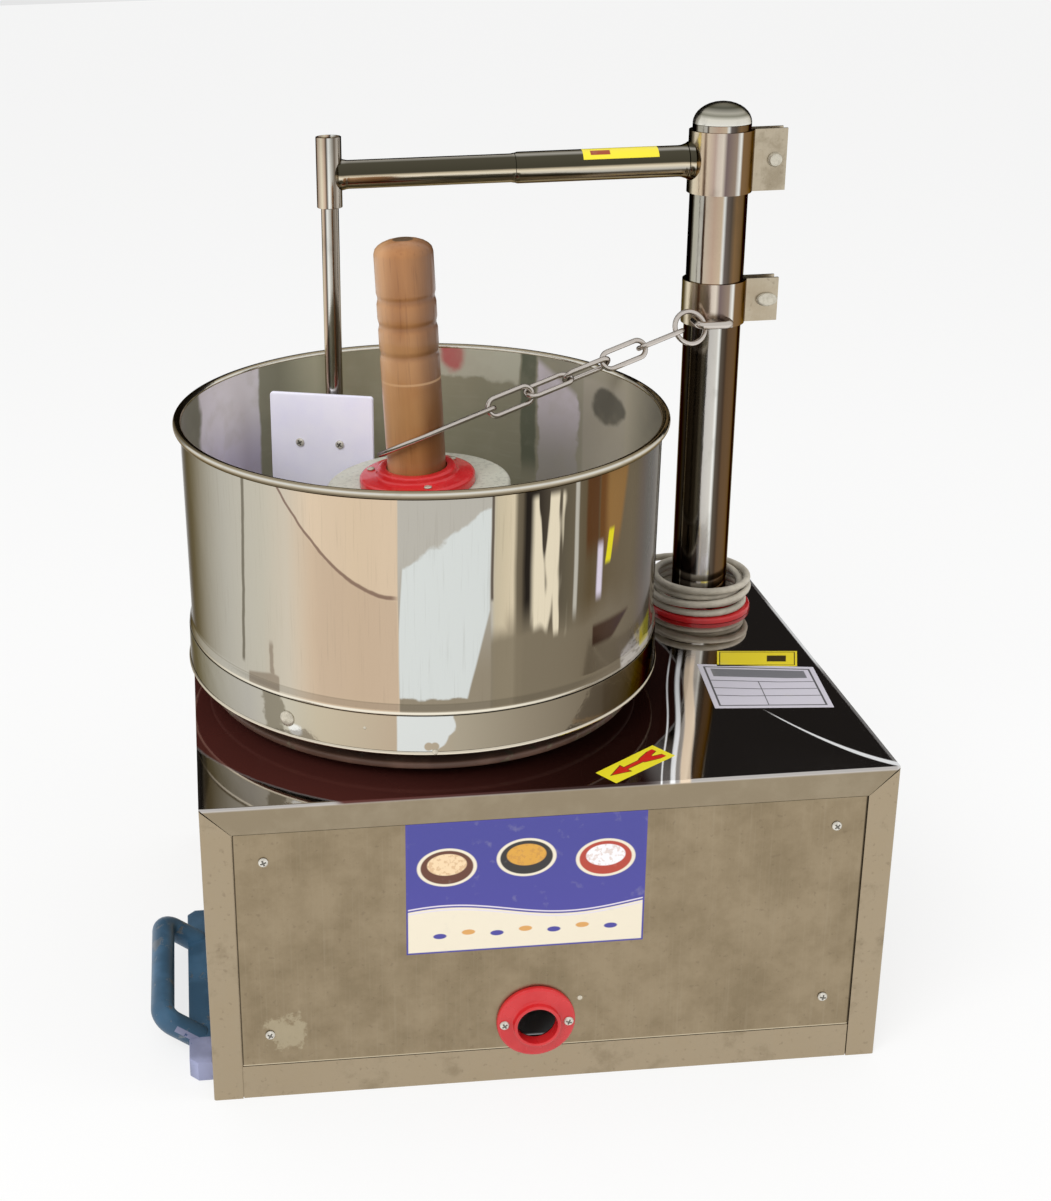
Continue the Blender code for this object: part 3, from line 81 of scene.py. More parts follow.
MERGE = 0.000002
SHARP = radians(32.0)
BEND_STEPS = 10


def tone(red: float, green: float, blue: float) -> Tone:
    """Turn a display colour of 0 to 255 into the linear colour that shaders take.

    Args:
        red: Red share of the colour.
        green: Green share.
        blue: Blue share.

    Returns:
        The linear colour with full alpha.
    """
    linear = [c / 3294.6 if c <= 10 else ((c / 255 + 0.055) / 1.055) ** 2.4
              for c in (red, green, blue)]
    return (*linear, 1.0)


# Tones of the painted reflections on the polished steel, some also used by other finishes;
# BLACK_EDGE is the painted dark reflection at a round mirror's edges.
BLACK_EDGE = tone(34, 30, 26)
DARK_OLIVE = tone(74, 70, 56)
OLIVE = tone(112, 103, 84)
KHAKI = tone(151, 137, 114)
GREY_GREEN = tone(178, 174, 158)
PALE_GREY = tone(182, 178, 168)
PEACH = tone(208, 187, 160)
ROSE_BEIGE = tone(196, 170, 148)
CREAM = tone(226, 214, 188)
NEAR_WHITE = tone(240, 240, 234)
BROWN = tone(128, 100, 68)
UMBER = tone(70, 56, 44)
STEEL = tone(190, 186, 176)


class Wire:
    """A number on its way through a shader, whose operators add Math nodes."""

    def __init__(self, recipe: "Recipe", socket: Socket) -> None:
        """Keep the socket and the recipe that it belongs to."""
        self.recipe = recipe
        self.socket = socket

    def _math(self, operation: str, *values: "Wire | float") -> "Wire":
        """Add one Math node.

        Args:
            operation: The node's operation.
            values: Its inputs in order.

        Returns:
            The node's result.
        """
        node = self.recipe.node("ShaderNodeMath", {"operation": operation},
                                dict(enumerate(values)))
        return Wire(self.recipe, node.outputs[0])

    def __add__(self, other: "Wire | float") -> "Wire":
        """Sum."""
        return self._math("ADD", self, other)

    __radd__ = __add__

    def __mul__(self, other: "Wire | float") -> "Wire":
        """Product."""
        return self._math("MULTIPLY", self, other)

    __rmul__ = __mul__

    def __sub__(self, other: "Wire | float") -> "Wire":
        """Difference."""
        return self._math("SUBTRACT", self, other)

    def __rsub__(self, other: float) -> "Wire":
        """Difference from a number."""
        return self._math("SUBTRACT", other, self)

    def __truediv__(self, other: "Wire | float") -> "Wire":
        """Quotient."""
        return self._math("DIVIDE", self, other)

    def __pow__(self, exponent: float) -> "Wire":
        """Power."""
        return self._math("POWER", self, exponent)

    def __abs__(self) -> "Wire":
        """Size without sign."""
        return self._math("ABSOLUTE", self)

    def sine(self) -> "Wire":
        """Sine of the number in radians."""
        return self._math("SINE", self)

    def least(self, other: "Wire | float") -> "Wire":
        """The smaller of the two."""
        return self._math("MINIMUM", self, other)

    def most(self, other: "Wire | float") -> "Wire":
        """The larger of the two."""
        return self._math("MAXIMUM", self, other)

    def rise(self, low: float, high: float) -> "Wire":
        """Soft step.

        Args:
            low: Where the step starts to leave 0.
            high: Where it reaches 1.

        Returns:
            A mask from 0 to 1.
        """
        node = self.recipe.node(
            "ShaderNodeMapRange", {"interpolation_type": "SMOOTHSTEP"},
            {"Value": self, "From Min": low, "From Max": high})
        return Wire(self.recipe, node.outputs[0])

    def band(self, low: float, high: float, soft: float) -> "Wire":
        """Mask of the values between two others.

        Args:
            low: Lower edge.
            high: Upper edge.
            soft: How far each edge fades to both sides.

        Returns:
            A mask from 0 to 1.
        """
        return self.rise(low - soft, low + soft) * (1.0 - self.rise(high - soft, high + soft))


class Recipe:
    """A material or world under construction: its node tree and its Principled shader."""

    def __init__(self, owner: bpy.types.Material | bpy.types.World) -> None:
        """Open the node tree of a material or a world.

        Args:
            owner: The new material or world.
        """
        owner.use_nodes = True
        self.tree = owner.node_tree
        self.shader = self.tree.nodes.get("Principled BSDF")
        self._spot: Socket | None = None

    def node(self, kind: str, settings: dict, sockets: dict) -> bpy.types.Node:
        """Add any node.

        Args:
            kind: The node's type.
            settings: Its properties, or "stops" for a ramp, set first.
            sockets: Values or links of its inputs, by name or place.

        Returns:
            The new node.
        """
        node = self.tree.nodes.new(kind)
        for key, value in settings.items():
            if key != "stops":
                setattr(node, key, value)
                continue
            stops = node.color_ramp.elements
            while len(stops) < len(value):
                stops.new(0.5)
            for stop, (place, colour) in zip(stops, value):
                stop.position = place
                stop.color = colour
        self.feed(node, sockets)
        return node

    def feed(self, node: bpy.types.Node, sockets: dict) -> None:
        """Give a node its inputs.

        Args:
            node: The node.
            sockets: Values or links by name or place.
        """
        for key, value in sockets.items():
            value = value.socket if isinstance(value, Wire) else value
            if isinstance(value, Socket):
                self.tree.links.new(value, node.inputs[key])
            else:
                node.inputs[key].default_value = value

    def show(self, shader: bpy.types.Node) -> None:
        """Link another shader to the material's output."""
        self.feed(self.tree.nodes["Material Output"], {"Surface": shader.outputs[0]})

    def seen(self) -> Wire:
        """Find what the camera sees, straight, in a mirror or through glass.

        Returns:
            The mask.
        """
        path = self.node("ShaderNodeLightPath", {}, {}).outputs
        return Wire(self, path["Is Camera Ray"]).most(Wire(self, path["Is Glossy Ray"])).most(
            Wire(self, path["Is Transmission Ray"]))

    def spot(self) -> Socket:
        """Find the coordinates in the frame that the piece was made in.

        Returns:
            The coordinates.
        """
        if self._spot is None:
            self._spot = self.node("ShaderNodeAttribute", {"attribute_name": "made_at"},
                                   {}).outputs["Vector"]
        return self._spot

    def use_object_spot(self) -> None:
        """Read Object coordinates instead, for a node of the CAD model."""
        self._spot = self.node("ShaderNodeTexCoord", {}, {}).outputs["Object"]

    def axes(self, socket: Socket | None = None) -> tuple[Wire, Wire, Wire]:
        """Split coordinates.

        Args:
            socket: The vector, or nothing for the piece's own frame.

        Returns:
            Its three parts.
        """
        parts = self.node("ShaderNodeSeparateXYZ", {}, {0: socket or self.spot()}).outputs
        return Wire(self, parts[0]), Wire(self, parts[1]), Wire(self, parts[2])

    def print_axes(self) -> tuple[Wire, Wire]:
        """Both parts of the piece's UV map."""
        across, up, _ = self.axes(self.node("ShaderNodeUVMap", {"uv_map": "print"}, {}).outputs[0])
        return across, up

    def noise(self, scale: float, detail: float = 3.0, shift: float = 0.0,
              stretch: Point = (1.0, 1.0, 1.0), rough: float = 0.5) -> Wire:
        """Soft noise in the piece's frame.

        Args:
            scale: Waves per metre, roughly.
            detail: How many finer octaves lie on it.
            shift: Moves the pattern, so that two noises differ.
            stretch: Factors of the scale along each axis.
            rough: Strength of the finer octaves.

        Returns:
            The noise, about 0.5 on average.
        """
        mapped = self.node("ShaderNodeMapping", {}, {
            "Vector": self.spot(), "Scale": stretch, "Location": (shift, shift, shift)})
        node = self.node("ShaderNodeTexNoise", {}, {
            "Vector": mapped.outputs[0], "Scale": scale, "Detail": detail, "Roughness": rough})
        return Wire(self, node.outputs[0])

    def grains(self, scale: float) -> tuple[Wire, Wire]:
        """Cells of crushed grain.

        Args:
            scale: Cells per metre.

        Returns:
            The distance to the cell's middle, and a random number for each cell.
        """
        mapped = self.node("ShaderNodeMapping", {}, {"Vector": self.spot()})
        node = self.node("ShaderNodeTexVoronoi", {}, {"Vector": mapped.outputs[0], "Scale": scale})
        return Wire(self, node.outputs["Distance"]), self.axes(node.outputs["Color"])[0]

    def ramp(self, value: Wire, stops: Stops) -> Socket:
        """Colour that follows a number from 0 to 1.

        Args:
            value: The number.
            stops: Places and colours in order.

        Returns:
            The colour.
        """
        return self.node("ShaderNodeValToRGB", {"stops": stops}, {0: value}).outputs[0]

    def mix(self, mask: Wire | float, under: Paint, over: Paint) -> Socket:
        """Lay one colour over another.

        Args:
            mask: Where the upper colour shows.
            under: The lower colour.
            over: The upper colour.

        Returns:
            The mixed colour.
        """
        return self.node("ShaderNodeMix", {"data_type": "RGBA"},
                         {0: mask, 6: under, 7: over}).outputs[2]

    def coats(self, colour: Paint, *coats: tuple[Wire | float, Paint]) -> Socket:
        """Lay several colours over another, one after the other.

        Args:
            colour: The lowest colour.
            coats: The mask and the colour of each coat.

        Returns:
            The colour of them all.
        """
        for mask, over in coats:
            colour = self.mix(mask, colour, over)
        return colour

    def surface(self, colour: Paint, roughness: Wire | float, metallic: Wire | float = 0.0,
                coat: Wire | float = 0.0, height: Wire | None = None,
                depth: float = 0.0004) -> None:
        """Feed the shader.

        Args:
            colour: Base colour.
            roughness: Roughness.
            metallic: Metallic share.
            coat: Weight of the clear coat.
            height: Relief of the surface, if it has one.
            depth: The relief's depth in metres.
        """
        self.feed(self.shader, {"Base Color": colour, "Roughness": roughness,
                                "Metallic": metallic, "Coat Weight": coat})
        if height is not None:
            bump = self.node("ShaderNodeBump", {}, {
                "Strength": 1.0, "Distance": depth, "Height": height})
            self.feed(self.shader, {"Normal": bump.outputs[0]})


@dataclass(frozen=True)
class Finish:
    """A surface finish with its main colour and gloss; each kind says how it varies."""

    name: str
    colour: Tone = STEEL
    roughness: float = 0.3
    on_cad: bool = False
    slot: str = ""

    def material(self) -> bpy.types.Material:
        """Make the finish's material the first time that it is asked for.

        Returns:
            The material.
        """
        known = bpy.data.materials.get(self.name)
        if known:
            return known
        made = bpy.data.materials.new(self.name)
        recipe = Recipe(made)
        if self.on_cad:
            recipe.use_object_spot()
        self.dress(recipe)
        made.diffuse_color = self.colour
        return made

    def dress(self, recipe: Recipe) -> None:
        """Plain surface with a faint mottling.

        Args:
            recipe: The material under construction.
        """
        cloud = recipe.noise(60.0)
        recipe.surface(recipe.mix(cloud * 0.3, self.colour, (0.0, 0.0, 0.0, 1.0)), self.roughness)


@dataclass(frozen=True)
class BandedSteel(Finish):
    """Polished steel whose painted reflections, bright and dark streaks, run along a round piece.
    """

    stops: Stops = ()
    right: Point = (1.0, 0.0, 0.0)
    radius: float = 0.1
    roughness: float = 0.13
    lower_stops: Stops = ()
    lower_from: float = 0.0
    waver: float = 0.02
    edge_tint: Tone = tone(176, 166, 150)
    slot: str = "mirror_steel"

    def streaks(self, recipe: Recipe) -> tuple[Socket, Wire, Wire, Wire]:
        """Paint the reflection streaks.

        Args:
            recipe: The material under construction.

        Returns:
            Their colour, the place across the piece from -1 to 1, the front's mask and the height.
        """
        recipe.shader.inputs["Specular Tint"].default_value = self.edge_tint
        x, y, z = recipe.axes()
        wander = recipe.noise(9.0, 2.0) - 0.5
        across = ((x * self.right[0] + y * self.right[1] + z * self.right[2]) / self.radius
                  + wander * self.waver)
        share = across * 0.5 + 0.5
        # The ramps are painted reflections: colour by the place across the piece, with a second
        # set of painted reflections below lower_from.
        colour = recipe.ramp(share, self.stops)
        if self.lower_stops:
            lower = recipe.ramp(share, self.lower_stops)
            colour = recipe.mix(z.rise(self.lower_from - 0.004, self.lower_from + 0.004), lower,
                                colour)
        front = (x * self.right[1] - y * self.right[0]).rise(-0.01, 0.01)
        return colour, across, front, z

    def dress(self, recipe: Recipe) -> None:
        """Painted reflection streaks with fine polishing marks.

        Args:
            recipe: The material under construction.
        """
        colour, _, _, _ = self.streaks(recipe)
        marks = recipe.noise(900.0, 2.0, stretch=(1.0, 1.0, 0.04))
        wear = recipe.noise(70.0, 4.0, 3.0, (1.0, 1.0, 0.5))
        colour = recipe.mix(wear.rise(0.55, 0.75) * 0.18, colour, DARK_OLIVE)
        recipe.surface(colour, wear * 0.12 + (self.roughness - 0.05), 1.0,
                       height=marks * 0.2 + wear, depth=0.00015)


@dataclass(frozen=True)
class DrumSteel(BandedSteel):
    """The drum's polished outside, with the painted reflections that its surroundings draw on it.
    """

    def dress(self, recipe: Recipe) -> None:
        """Painted reflections: streaks, a bright slanting patch, a curved line of shade and warm
        patches.

        Args:
            recipe: The material under construction.
        """
        colour, across, front, z = self.streaks(recipe)
        ragged = recipe.noise(60.0, 4.0, 5.0) - 0.5
        edge = recipe.noise(28.0, 3.0, 9.0, (1.0, 1.0, 0.15)) - 0.5
        drift = recipe.noise(22.0, 3.0, 2.0, (1.0, 1.0, 0.05))
        # Painted reflections: warm patches, a rosier zone below a curve and a dark line along the
        # curve.
        bend = (across + 0.08) * (across + 0.08) * 0.39 + 0.162
        under = ((bend - z + ragged * 0.006).rise(0.0, 0.003) * across.rise(-0.52, -0.36)
                 * (1.0 - across.rise(-0.089, -0.081)))
        painted_dark_curve = 1.0 - abs(z - bend + ragged * 0.004).rise(0.0008, 0.0026)
        painted_dark_curve = painted_dark_curve * across.band(-0.56, -0.09, 0.02) * front
        colour = recipe.coats(
            colour,
            (drift.rise(0.45, 0.7) * 0.3 * across.band(-0.85, -0.1, 0.05), tone(200, 178, 154)),
            (under * front * 0.5, tone(180, 156, 132)),
            (painted_dark_curve * 0.8, tone(112, 84, 72)))
        colour = self.left_lines(recipe, colour, across, z, front)
        # Painted reflections at the lower right, a grey upper zone and a bright slanting patch.
        low_right = across.rise(0.235, 0.25) * (1.0 - (z + edge * 0.04).rise(0.119, 0.137))
        low_right = low_right.most(across.rise(0.30, 0.33) * (1.0 - (z + edge * 0.05).rise(
            0.112, 0.150)))
        low_tone = recipe.mix(across.rise(0.3, 0.9), tone(130, 119, 99), tone(114, 103, 86))
        grey_top = across.band(-0.082, 0.262, 0.004)
        slant = z - (across + 0.07) * 0.142 + ragged * 0.020
        corner = across + (0.150 - z).most(0.0) * 1.05 + edge * 0.03
        bright = (grey_top * (across + 0.065 + (0.186 - z) * 0.32).rise(-0.003, 0.003)
                  * (1.0 - slant.rise(0.184, 0.188)) * (z + ragged * 0.012).rise(0.0760, 0.0785)
                  * (1.0 - corner.rise(0.252, 0.262)))
        colour = recipe.coats(
            colour,
            (low_right * front * 0.92, low_tone),
            (grey_top * front, recipe.mix(z.rise(0.09, 0.20), tone(146, 135, 116), PALE_GREY)),
            (bright * front, tone(212, 216, 213)))
        colour = self.right_shapes(recipe, colour, across, z, front)
        marks = recipe.noise(700.0, 2.0, stretch=(1.0, 1.0, 0.03))
        dents = recipe.noise(14.0, 3.0, 4.0, (1.0, 1.0, 0.6))
        # Painted highlight along the ridge at the drum's floor, and a painted dark line just above
        # it.
        ridge = z.band(0.0652, 0.0674, 0.0007)
        colour = recipe.coats(
            colour,
            (marks.rise(0.55, 0.8) * 0.12, OLIVE),
            (ridge * (1.0 - across.rise(0.2, 0.9) * 0.6), tone(240, 232, 214)),
            (z.band(0.0728, 0.0736, 0.0005) * 0.35, OLIVE))
        recipe.surface(colour, marks * 0.08 + 0.07, 1.0 - across.rise(0.58, 0.74) * 0.45,
                       height=dents + marks * 0.02, depth=0.0006)

    def left_lines(self, recipe: Recipe, colour: Paint, across: Wire, z: Wire,
                   front: Wire) -> Socket:
        """Paint the reflected thin dark line at the left and the hook at its foot.

        Args:
            recipe: The material under construction.
            colour: The colour so far.
            across: Place across the drum from -1 to 1.
            z: Height above the deck.
            front: Mask of the drum's front.

        Returns:
            The colour with both.
        """
        ragged = recipe.noise(60.0, 4.0, 15.0) - 0.5
        lean = across + 0.668 - (z - 0.24) * 0.16 + ragged * 0.006
        line = (1.0 - abs(lean).rise(0.0030, 0.0085)) * z.rise(0.080, 0.086)
        spur = ((1.0 - abs(across + 0.572 + ragged * 0.02).rise(0.004, 0.012))
                * z.band(0.078, 0.108, 0.004))
        foot = (across.band(-0.672, -0.545, 0.004)
                * (1.0 - (z - abs(across + 0.570) * -0.06).rise(0.0800, 0.0830)))
        return recipe.coats(
            colour,
            (line * front * 0.75, tone(92, 84, 68)),
            (spur.most(foot) * front * 0.7, tone(136, 120, 102)))

    def right_shapes(self, recipe: Recipe, colour: Paint, across: Wire, z: Wire,
                     front: Wire) -> Socket:
        """Paint the reflections that the drum mirrors at its right: strips, a ragged wave, warm
        patches, glints and a plate.

        Args:
            recipe: The material under construction.
            colour: The colour so far.
            across: Place across the drum from -1 to 1.
            z: Height above the deck.
            front: Mask of the drum's front.

        Returns:
            The colour with these shapes.
        """
        edge = recipe.noise(28.0, 3.0, 12.0, (1.0, 1.0, 0.15)) - 0.5
        # Painted reflections: a dark strip, a cream wave, a pale gleam, brown and warm patches, a
        # yellow glint, a pale sliver and a dark spot.
        line = across.band(0.262, 0.272, 0.003) * z.rise(0.155, 0.160)
        stroke = recipe.noise(70.0, 2.0, 7.0, (1.0, 1.0, 0.12))
        wave = (across.band(0.415, 0.545, 0.012) * stroke.rise(0.46, 0.54)
                * (z + edge * 0.06).rise(0.115, 0.125) * (1.0 - z.rise(0.232, 0.240)))
        gleam = across.band(0.575, 0.590, 0.004) * (z + edge * 0.1).rise(0.125, 0.15)
        brown = across.band(0.622, 0.672, 0.006) * (z + edge * 0.08).rise(0.165, 0.190)
        taper = across + (0.236 - z) * 0.55
        warm = across.rise(0.672, 0.680) * (1.0 - taper.rise(0.78, 0.80)) * z.rise(0.165, 0.195)
        shade = recipe.mix(across.rise(0.69, 0.72), tone(104, 68, 34), tone(140, 104, 58))
        spark = ((1.0 - abs(across - 0.720 - (z - 0.180) * 0.5).rise(0.008, 0.014))
                 * z.band(0.166, 0.193, 0.003))
        sliver = across.band(0.669, 0.691, 0.005) * z.band(0.140, 0.184, 0.006)
        spot = (across.band(0.660, 0.815, 0.004) * z.band(0.098, 0.116, 0.003)
                * (1.0 - (across - 0.74 - (z - 0.100) * 4.0).rise(0.0, 0.02)))
        # Painted reflection of a label plate, its rows and yellow corner held in printed.
        plate = ((across + edge * 0.03).band(0.790, 0.925, 0.006)
                 * (z - (across - 0.86) * 0.10 + edge * 0.01).band(0.046, 0.086, 0.003))
        rows = recipe.noise(330.0, 2.0, 13.0, (0.4, 0.4, 1.0)).rise(0.52, 0.60)
        printed = recipe.mix(rows * 0.5, tone(186, 180, 172), tone(104, 96, 84))
        printed = recipe.mix(across.rise(0.875, 0.885) * z.rise(0.070, 0.073), printed,
                             tone(196, 184, 60))
        return recipe.coats(
            colour,
            (line * front * 0.85, UMBER),
            (wave * front, CREAM),
            (gleam * front * 0.7, tone(206, 202, 190)),
            (brown * front * 0.9, tone(88, 56, 32)),
            (warm * front, shade),
            (spark * front, tone(226, 214, 30)),
            (sliver * front * 0.95, tone(220, 210, 226)),
            (spot * front * 0.9, tone(58, 36, 26)),
            (plate * front * 0.9, printed))


@dataclass(frozen=True)
class SkirtSteel(BandedSteel):
    """The band under the drum, with a painted bright reflection patch and a grey reflected cloud
    by the rivet.
    """

    def dress(self, recipe: Recipe) -> None:
        """Painted reflection streaks with a bright reflection patch, a grey reflected cloud and
        painted highlights by the rivet and along the rolled edge.

        Args:
            recipe: The material under construction.
        """
        colour, across, front, z = self.streaks(recipe)
        ragged = recipe.noise(70.0, 3.0, 5.0) - 0.5
        # Painted reflection: a bright patch with two darker spots.
        patch = across.band(-0.095, 0.135, 0.004) * (z - across.most(0.0) * 0.06
                                                    + ragged * 0.012).rise(0.030, 0.032)
        cut = across + (0.052 - z).most(0.0) * 4.0 + ragged * 0.06
        patch = patch * (1.0 - cut.rise(0.120, 0.132))
        for spot_at in (0.028, 0.052):
            away = (((across - spot_at) * self.radius) ** 2.0 + (z - 0.0385) ** 2.0) ** 0.5
            patch = patch * away.rise(0.0028, 0.0042)
        cloud = (across + ragged * 0.12).band(-0.615, -0.535, 0.008)
        glow = (((across + 0.49) * self.radius) ** 2.0 + (z - 0.0385) ** 2.0) ** 0.5
        # Coats: the bright reflection patch, the grey reflected cloud, a painted highlight by the
        # rivet and a painted highlight along the rolled lower edge.
        colour = recipe.coats(
            colour,
            (patch * front, tone(216, 219, 216)),
            (cloud * front * 0.85, tone(132, 124, 106)),
            ((1.0 - (glow + ragged * 0.008).rise(0.004, 0.007)) * front, NEAR_WHITE),
            (1.0 - z.rise(0.0338, 0.0346), tone(232, 222, 202)))
        recipe.surface(colour, 0.10, 1.0, height=ragged, depth=0.0003)


@dataclass(frozen=True)
class InnerSteel(BandedSteel):
    """The drum's inside: greased steel with painted soft reflections of blade, rim and
    surroundings.
    """

    def dress(self, recipe: Recipe) -> None:
        """Olive steel with painted reflections on its far wall: pale, red and dark patches.

        Args:
            recipe: The material under construction.
        """
        colour, across, front, z = self.streaks(recipe)
        far = (1.0 - front) * z.rise(DRUM_FLOOR + 0.0020, DRUM_FLOOR + 0.0055)
        grain = recipe.noise(40.0, 4.0, 6.0)
        ragged = grain - 0.5
        bars = recipe.noise(240.0, 2.0, 3.0, (0.15, 0.15, 1.0))
        # Painted reflections on the far wall: the blade, pale upper patches, a red smear, dark and
        # pale strips and a dark blob.
        fade = recipe.mix(z.rise(0.15, 0.22), tone(214, 206, 236), tone(252, 246, 255))
        blade = ((across + ragged * 0.02).band(-0.950, -0.725, 0.006)
                 * (1.0 - (z - across * -0.02 + abs(across + 0.83) * 0.14).rise(0.270, 0.276)))
        upper = ((across + ragged * 0.03).band(0.08, 0.462, 0.006)
                 * (z + ragged * 0.03).rise(0.216, 0.222))
        red = (((across - 0.16) * 0.28) ** 2.0 + (z - 0.2405) ** 2.0) ** 0.5
        dark = (across + ragged * 0.03).band(0.470, 0.535, 0.006) * z.rise(0.120, 0.150)
        veil = recipe.mix(z.rise(0.14, 0.22), tone(176, 170, 166), tone(226, 216, 226))
        pale = ((across + ragged * 0.06).band(0.545, 0.715, 0.006)
                * (1.0 - (z + (across - 0.55) * 0.16).rise(0.236, 0.246)))
        second = across.band(0.735, 0.895, 0.006) * (1.0 - z.rise(0.232, 0.240))
        blob = (((across - 0.83) * 0.2) ** 2.0 + ((z - 0.214) * 0.7) ** 2.0) ** 0.5
        colour = recipe.coats(
            colour,
            (bars.rise(0.5, 0.72) * 0.22 * (1.0 - z.rise(0.20, 0.235)), tone(172, 168, 148)),
            (blade * far * 0.92, fade),
            (upper * far * 0.85, tone(206, 204, 186)),
            ((1.0 - (red + ragged * 0.02).rise(0.012, 0.022)) * far * 0.8, tone(196, 66, 78)),
            (dark * far * 0.8, tone(92, 98, 82)),
            (pale * far * 0.85, veil),
            (second * far * 0.75, tone(186, 178, 164)),
            ((1.0 - (blob + ragged * 0.01).rise(0.010, 0.014)) * far * 0.8, tone(88, 86, 78)),
            (grain.rise(0.45, 0.7) * 0.2, tone(178, 170, 150)))
        recipe.surface(colour, grain * 0.15 + 0.24, 0.30, height=grain, depth=0.0003)


@dataclass(frozen=True)
class RimSteel(BandedSteel):
    """The drum's rolled rim, with a painted highlight along its crest and painted shade in its
    roots.
    """

    def dress(self, recipe: Recipe) -> None:
        """Painted highlight and shade that follow the height of the roll.

        Args:
            recipe: The material under construction.
        """
        _, _, _, z = self.streaks(recipe)
        wear = recipe.noise(60.0)
        roll = 2 * DRUM_BEAD
        colour = recipe.ramp((z - (DRUM_TOP - roll)) / roll, self.stops)
        colour = recipe.mix(wear.rise(0.5, 0.75) * 0.25, colour, KHAKI)
        recipe.surface(colour, wear * 0.08 + 0.08, 1.0, height=wear, depth=0.0002)


@dataclass(frozen=True)
class SheetSteel(Finish):
    """Thin stainless sheet with a mottled brown painted reflection, specks and pale splashes."""

    colour: Tone = tone(173, 157, 132)
    roughness: float = 0.30
    stain_x: float = 9.0
    framed: bool = False
    slot: str = "satin_steel"

    def dress(self, recipe: Recipe) -> None:
        """Mottled brown painted reflection with brush marks, specks and, where given, a dried
        splash.

        Args:
            recipe: The material under construction.
        """
        x, _, z = recipe.axes()
        cloud = recipe.noise(26.0, 5.0, 1.0, rough=0.65)
        brush = recipe.noise(500.0, 2.0, stretch=(1.0, 1.0, 0.02))
        specks = recipe.noise(220.0, 3.0, 6.0)
        splash = recipe.noise(90.0, 4.0, 8.0, rough=0.7)
        reach = ((x - self.stain_x) * (x - self.stain_x)
                 + (z - 0.062) * (z - 0.062)) ** 0.5 + splash * 0.05
        # The brown tone and its light and dark mottling are a painted reflection; brush marks,
        # specks and the splash are the sheet's own.
        colour = recipe.coats(
            self.colour,
            (cloud.rise(0.40, 0.70) * 0.55, tone(174, 157, 130)),
            ((1.0 - cloud.rise(0.30, 0.48)) * 0.5, tone(134, 119, 94)),
            (brush.rise(0.5, 0.8) * 0.25, tone(172, 158, 134)),
            (specks.rise(0.62, 0.72) * 0.3, tone(120, 105, 86)),
            ((1.0 - reach.rise(0.036, 0.044)) * 0.55, tone(196, 184, 156)))
        # A framed panel gets painted shade in the gap along its side edges and a painted highlight
        # along its bottom edge.
        if self.framed:
            colour = recipe.mix(abs(x).rise(0.2510, 0.2518) * 0.85, colour, tone(52, 42, 32))
            colour = recipe.mix((1.0 - z.rise(0.0322, 0.0330)) * 0.8, colour, tone(222, 208, 180))
        recipe.surface(colour, cloud * 0.25 + (self.roughness - 0.1), 1.0,
                       height=cloud + brush * 0.1, depth=0.0005)


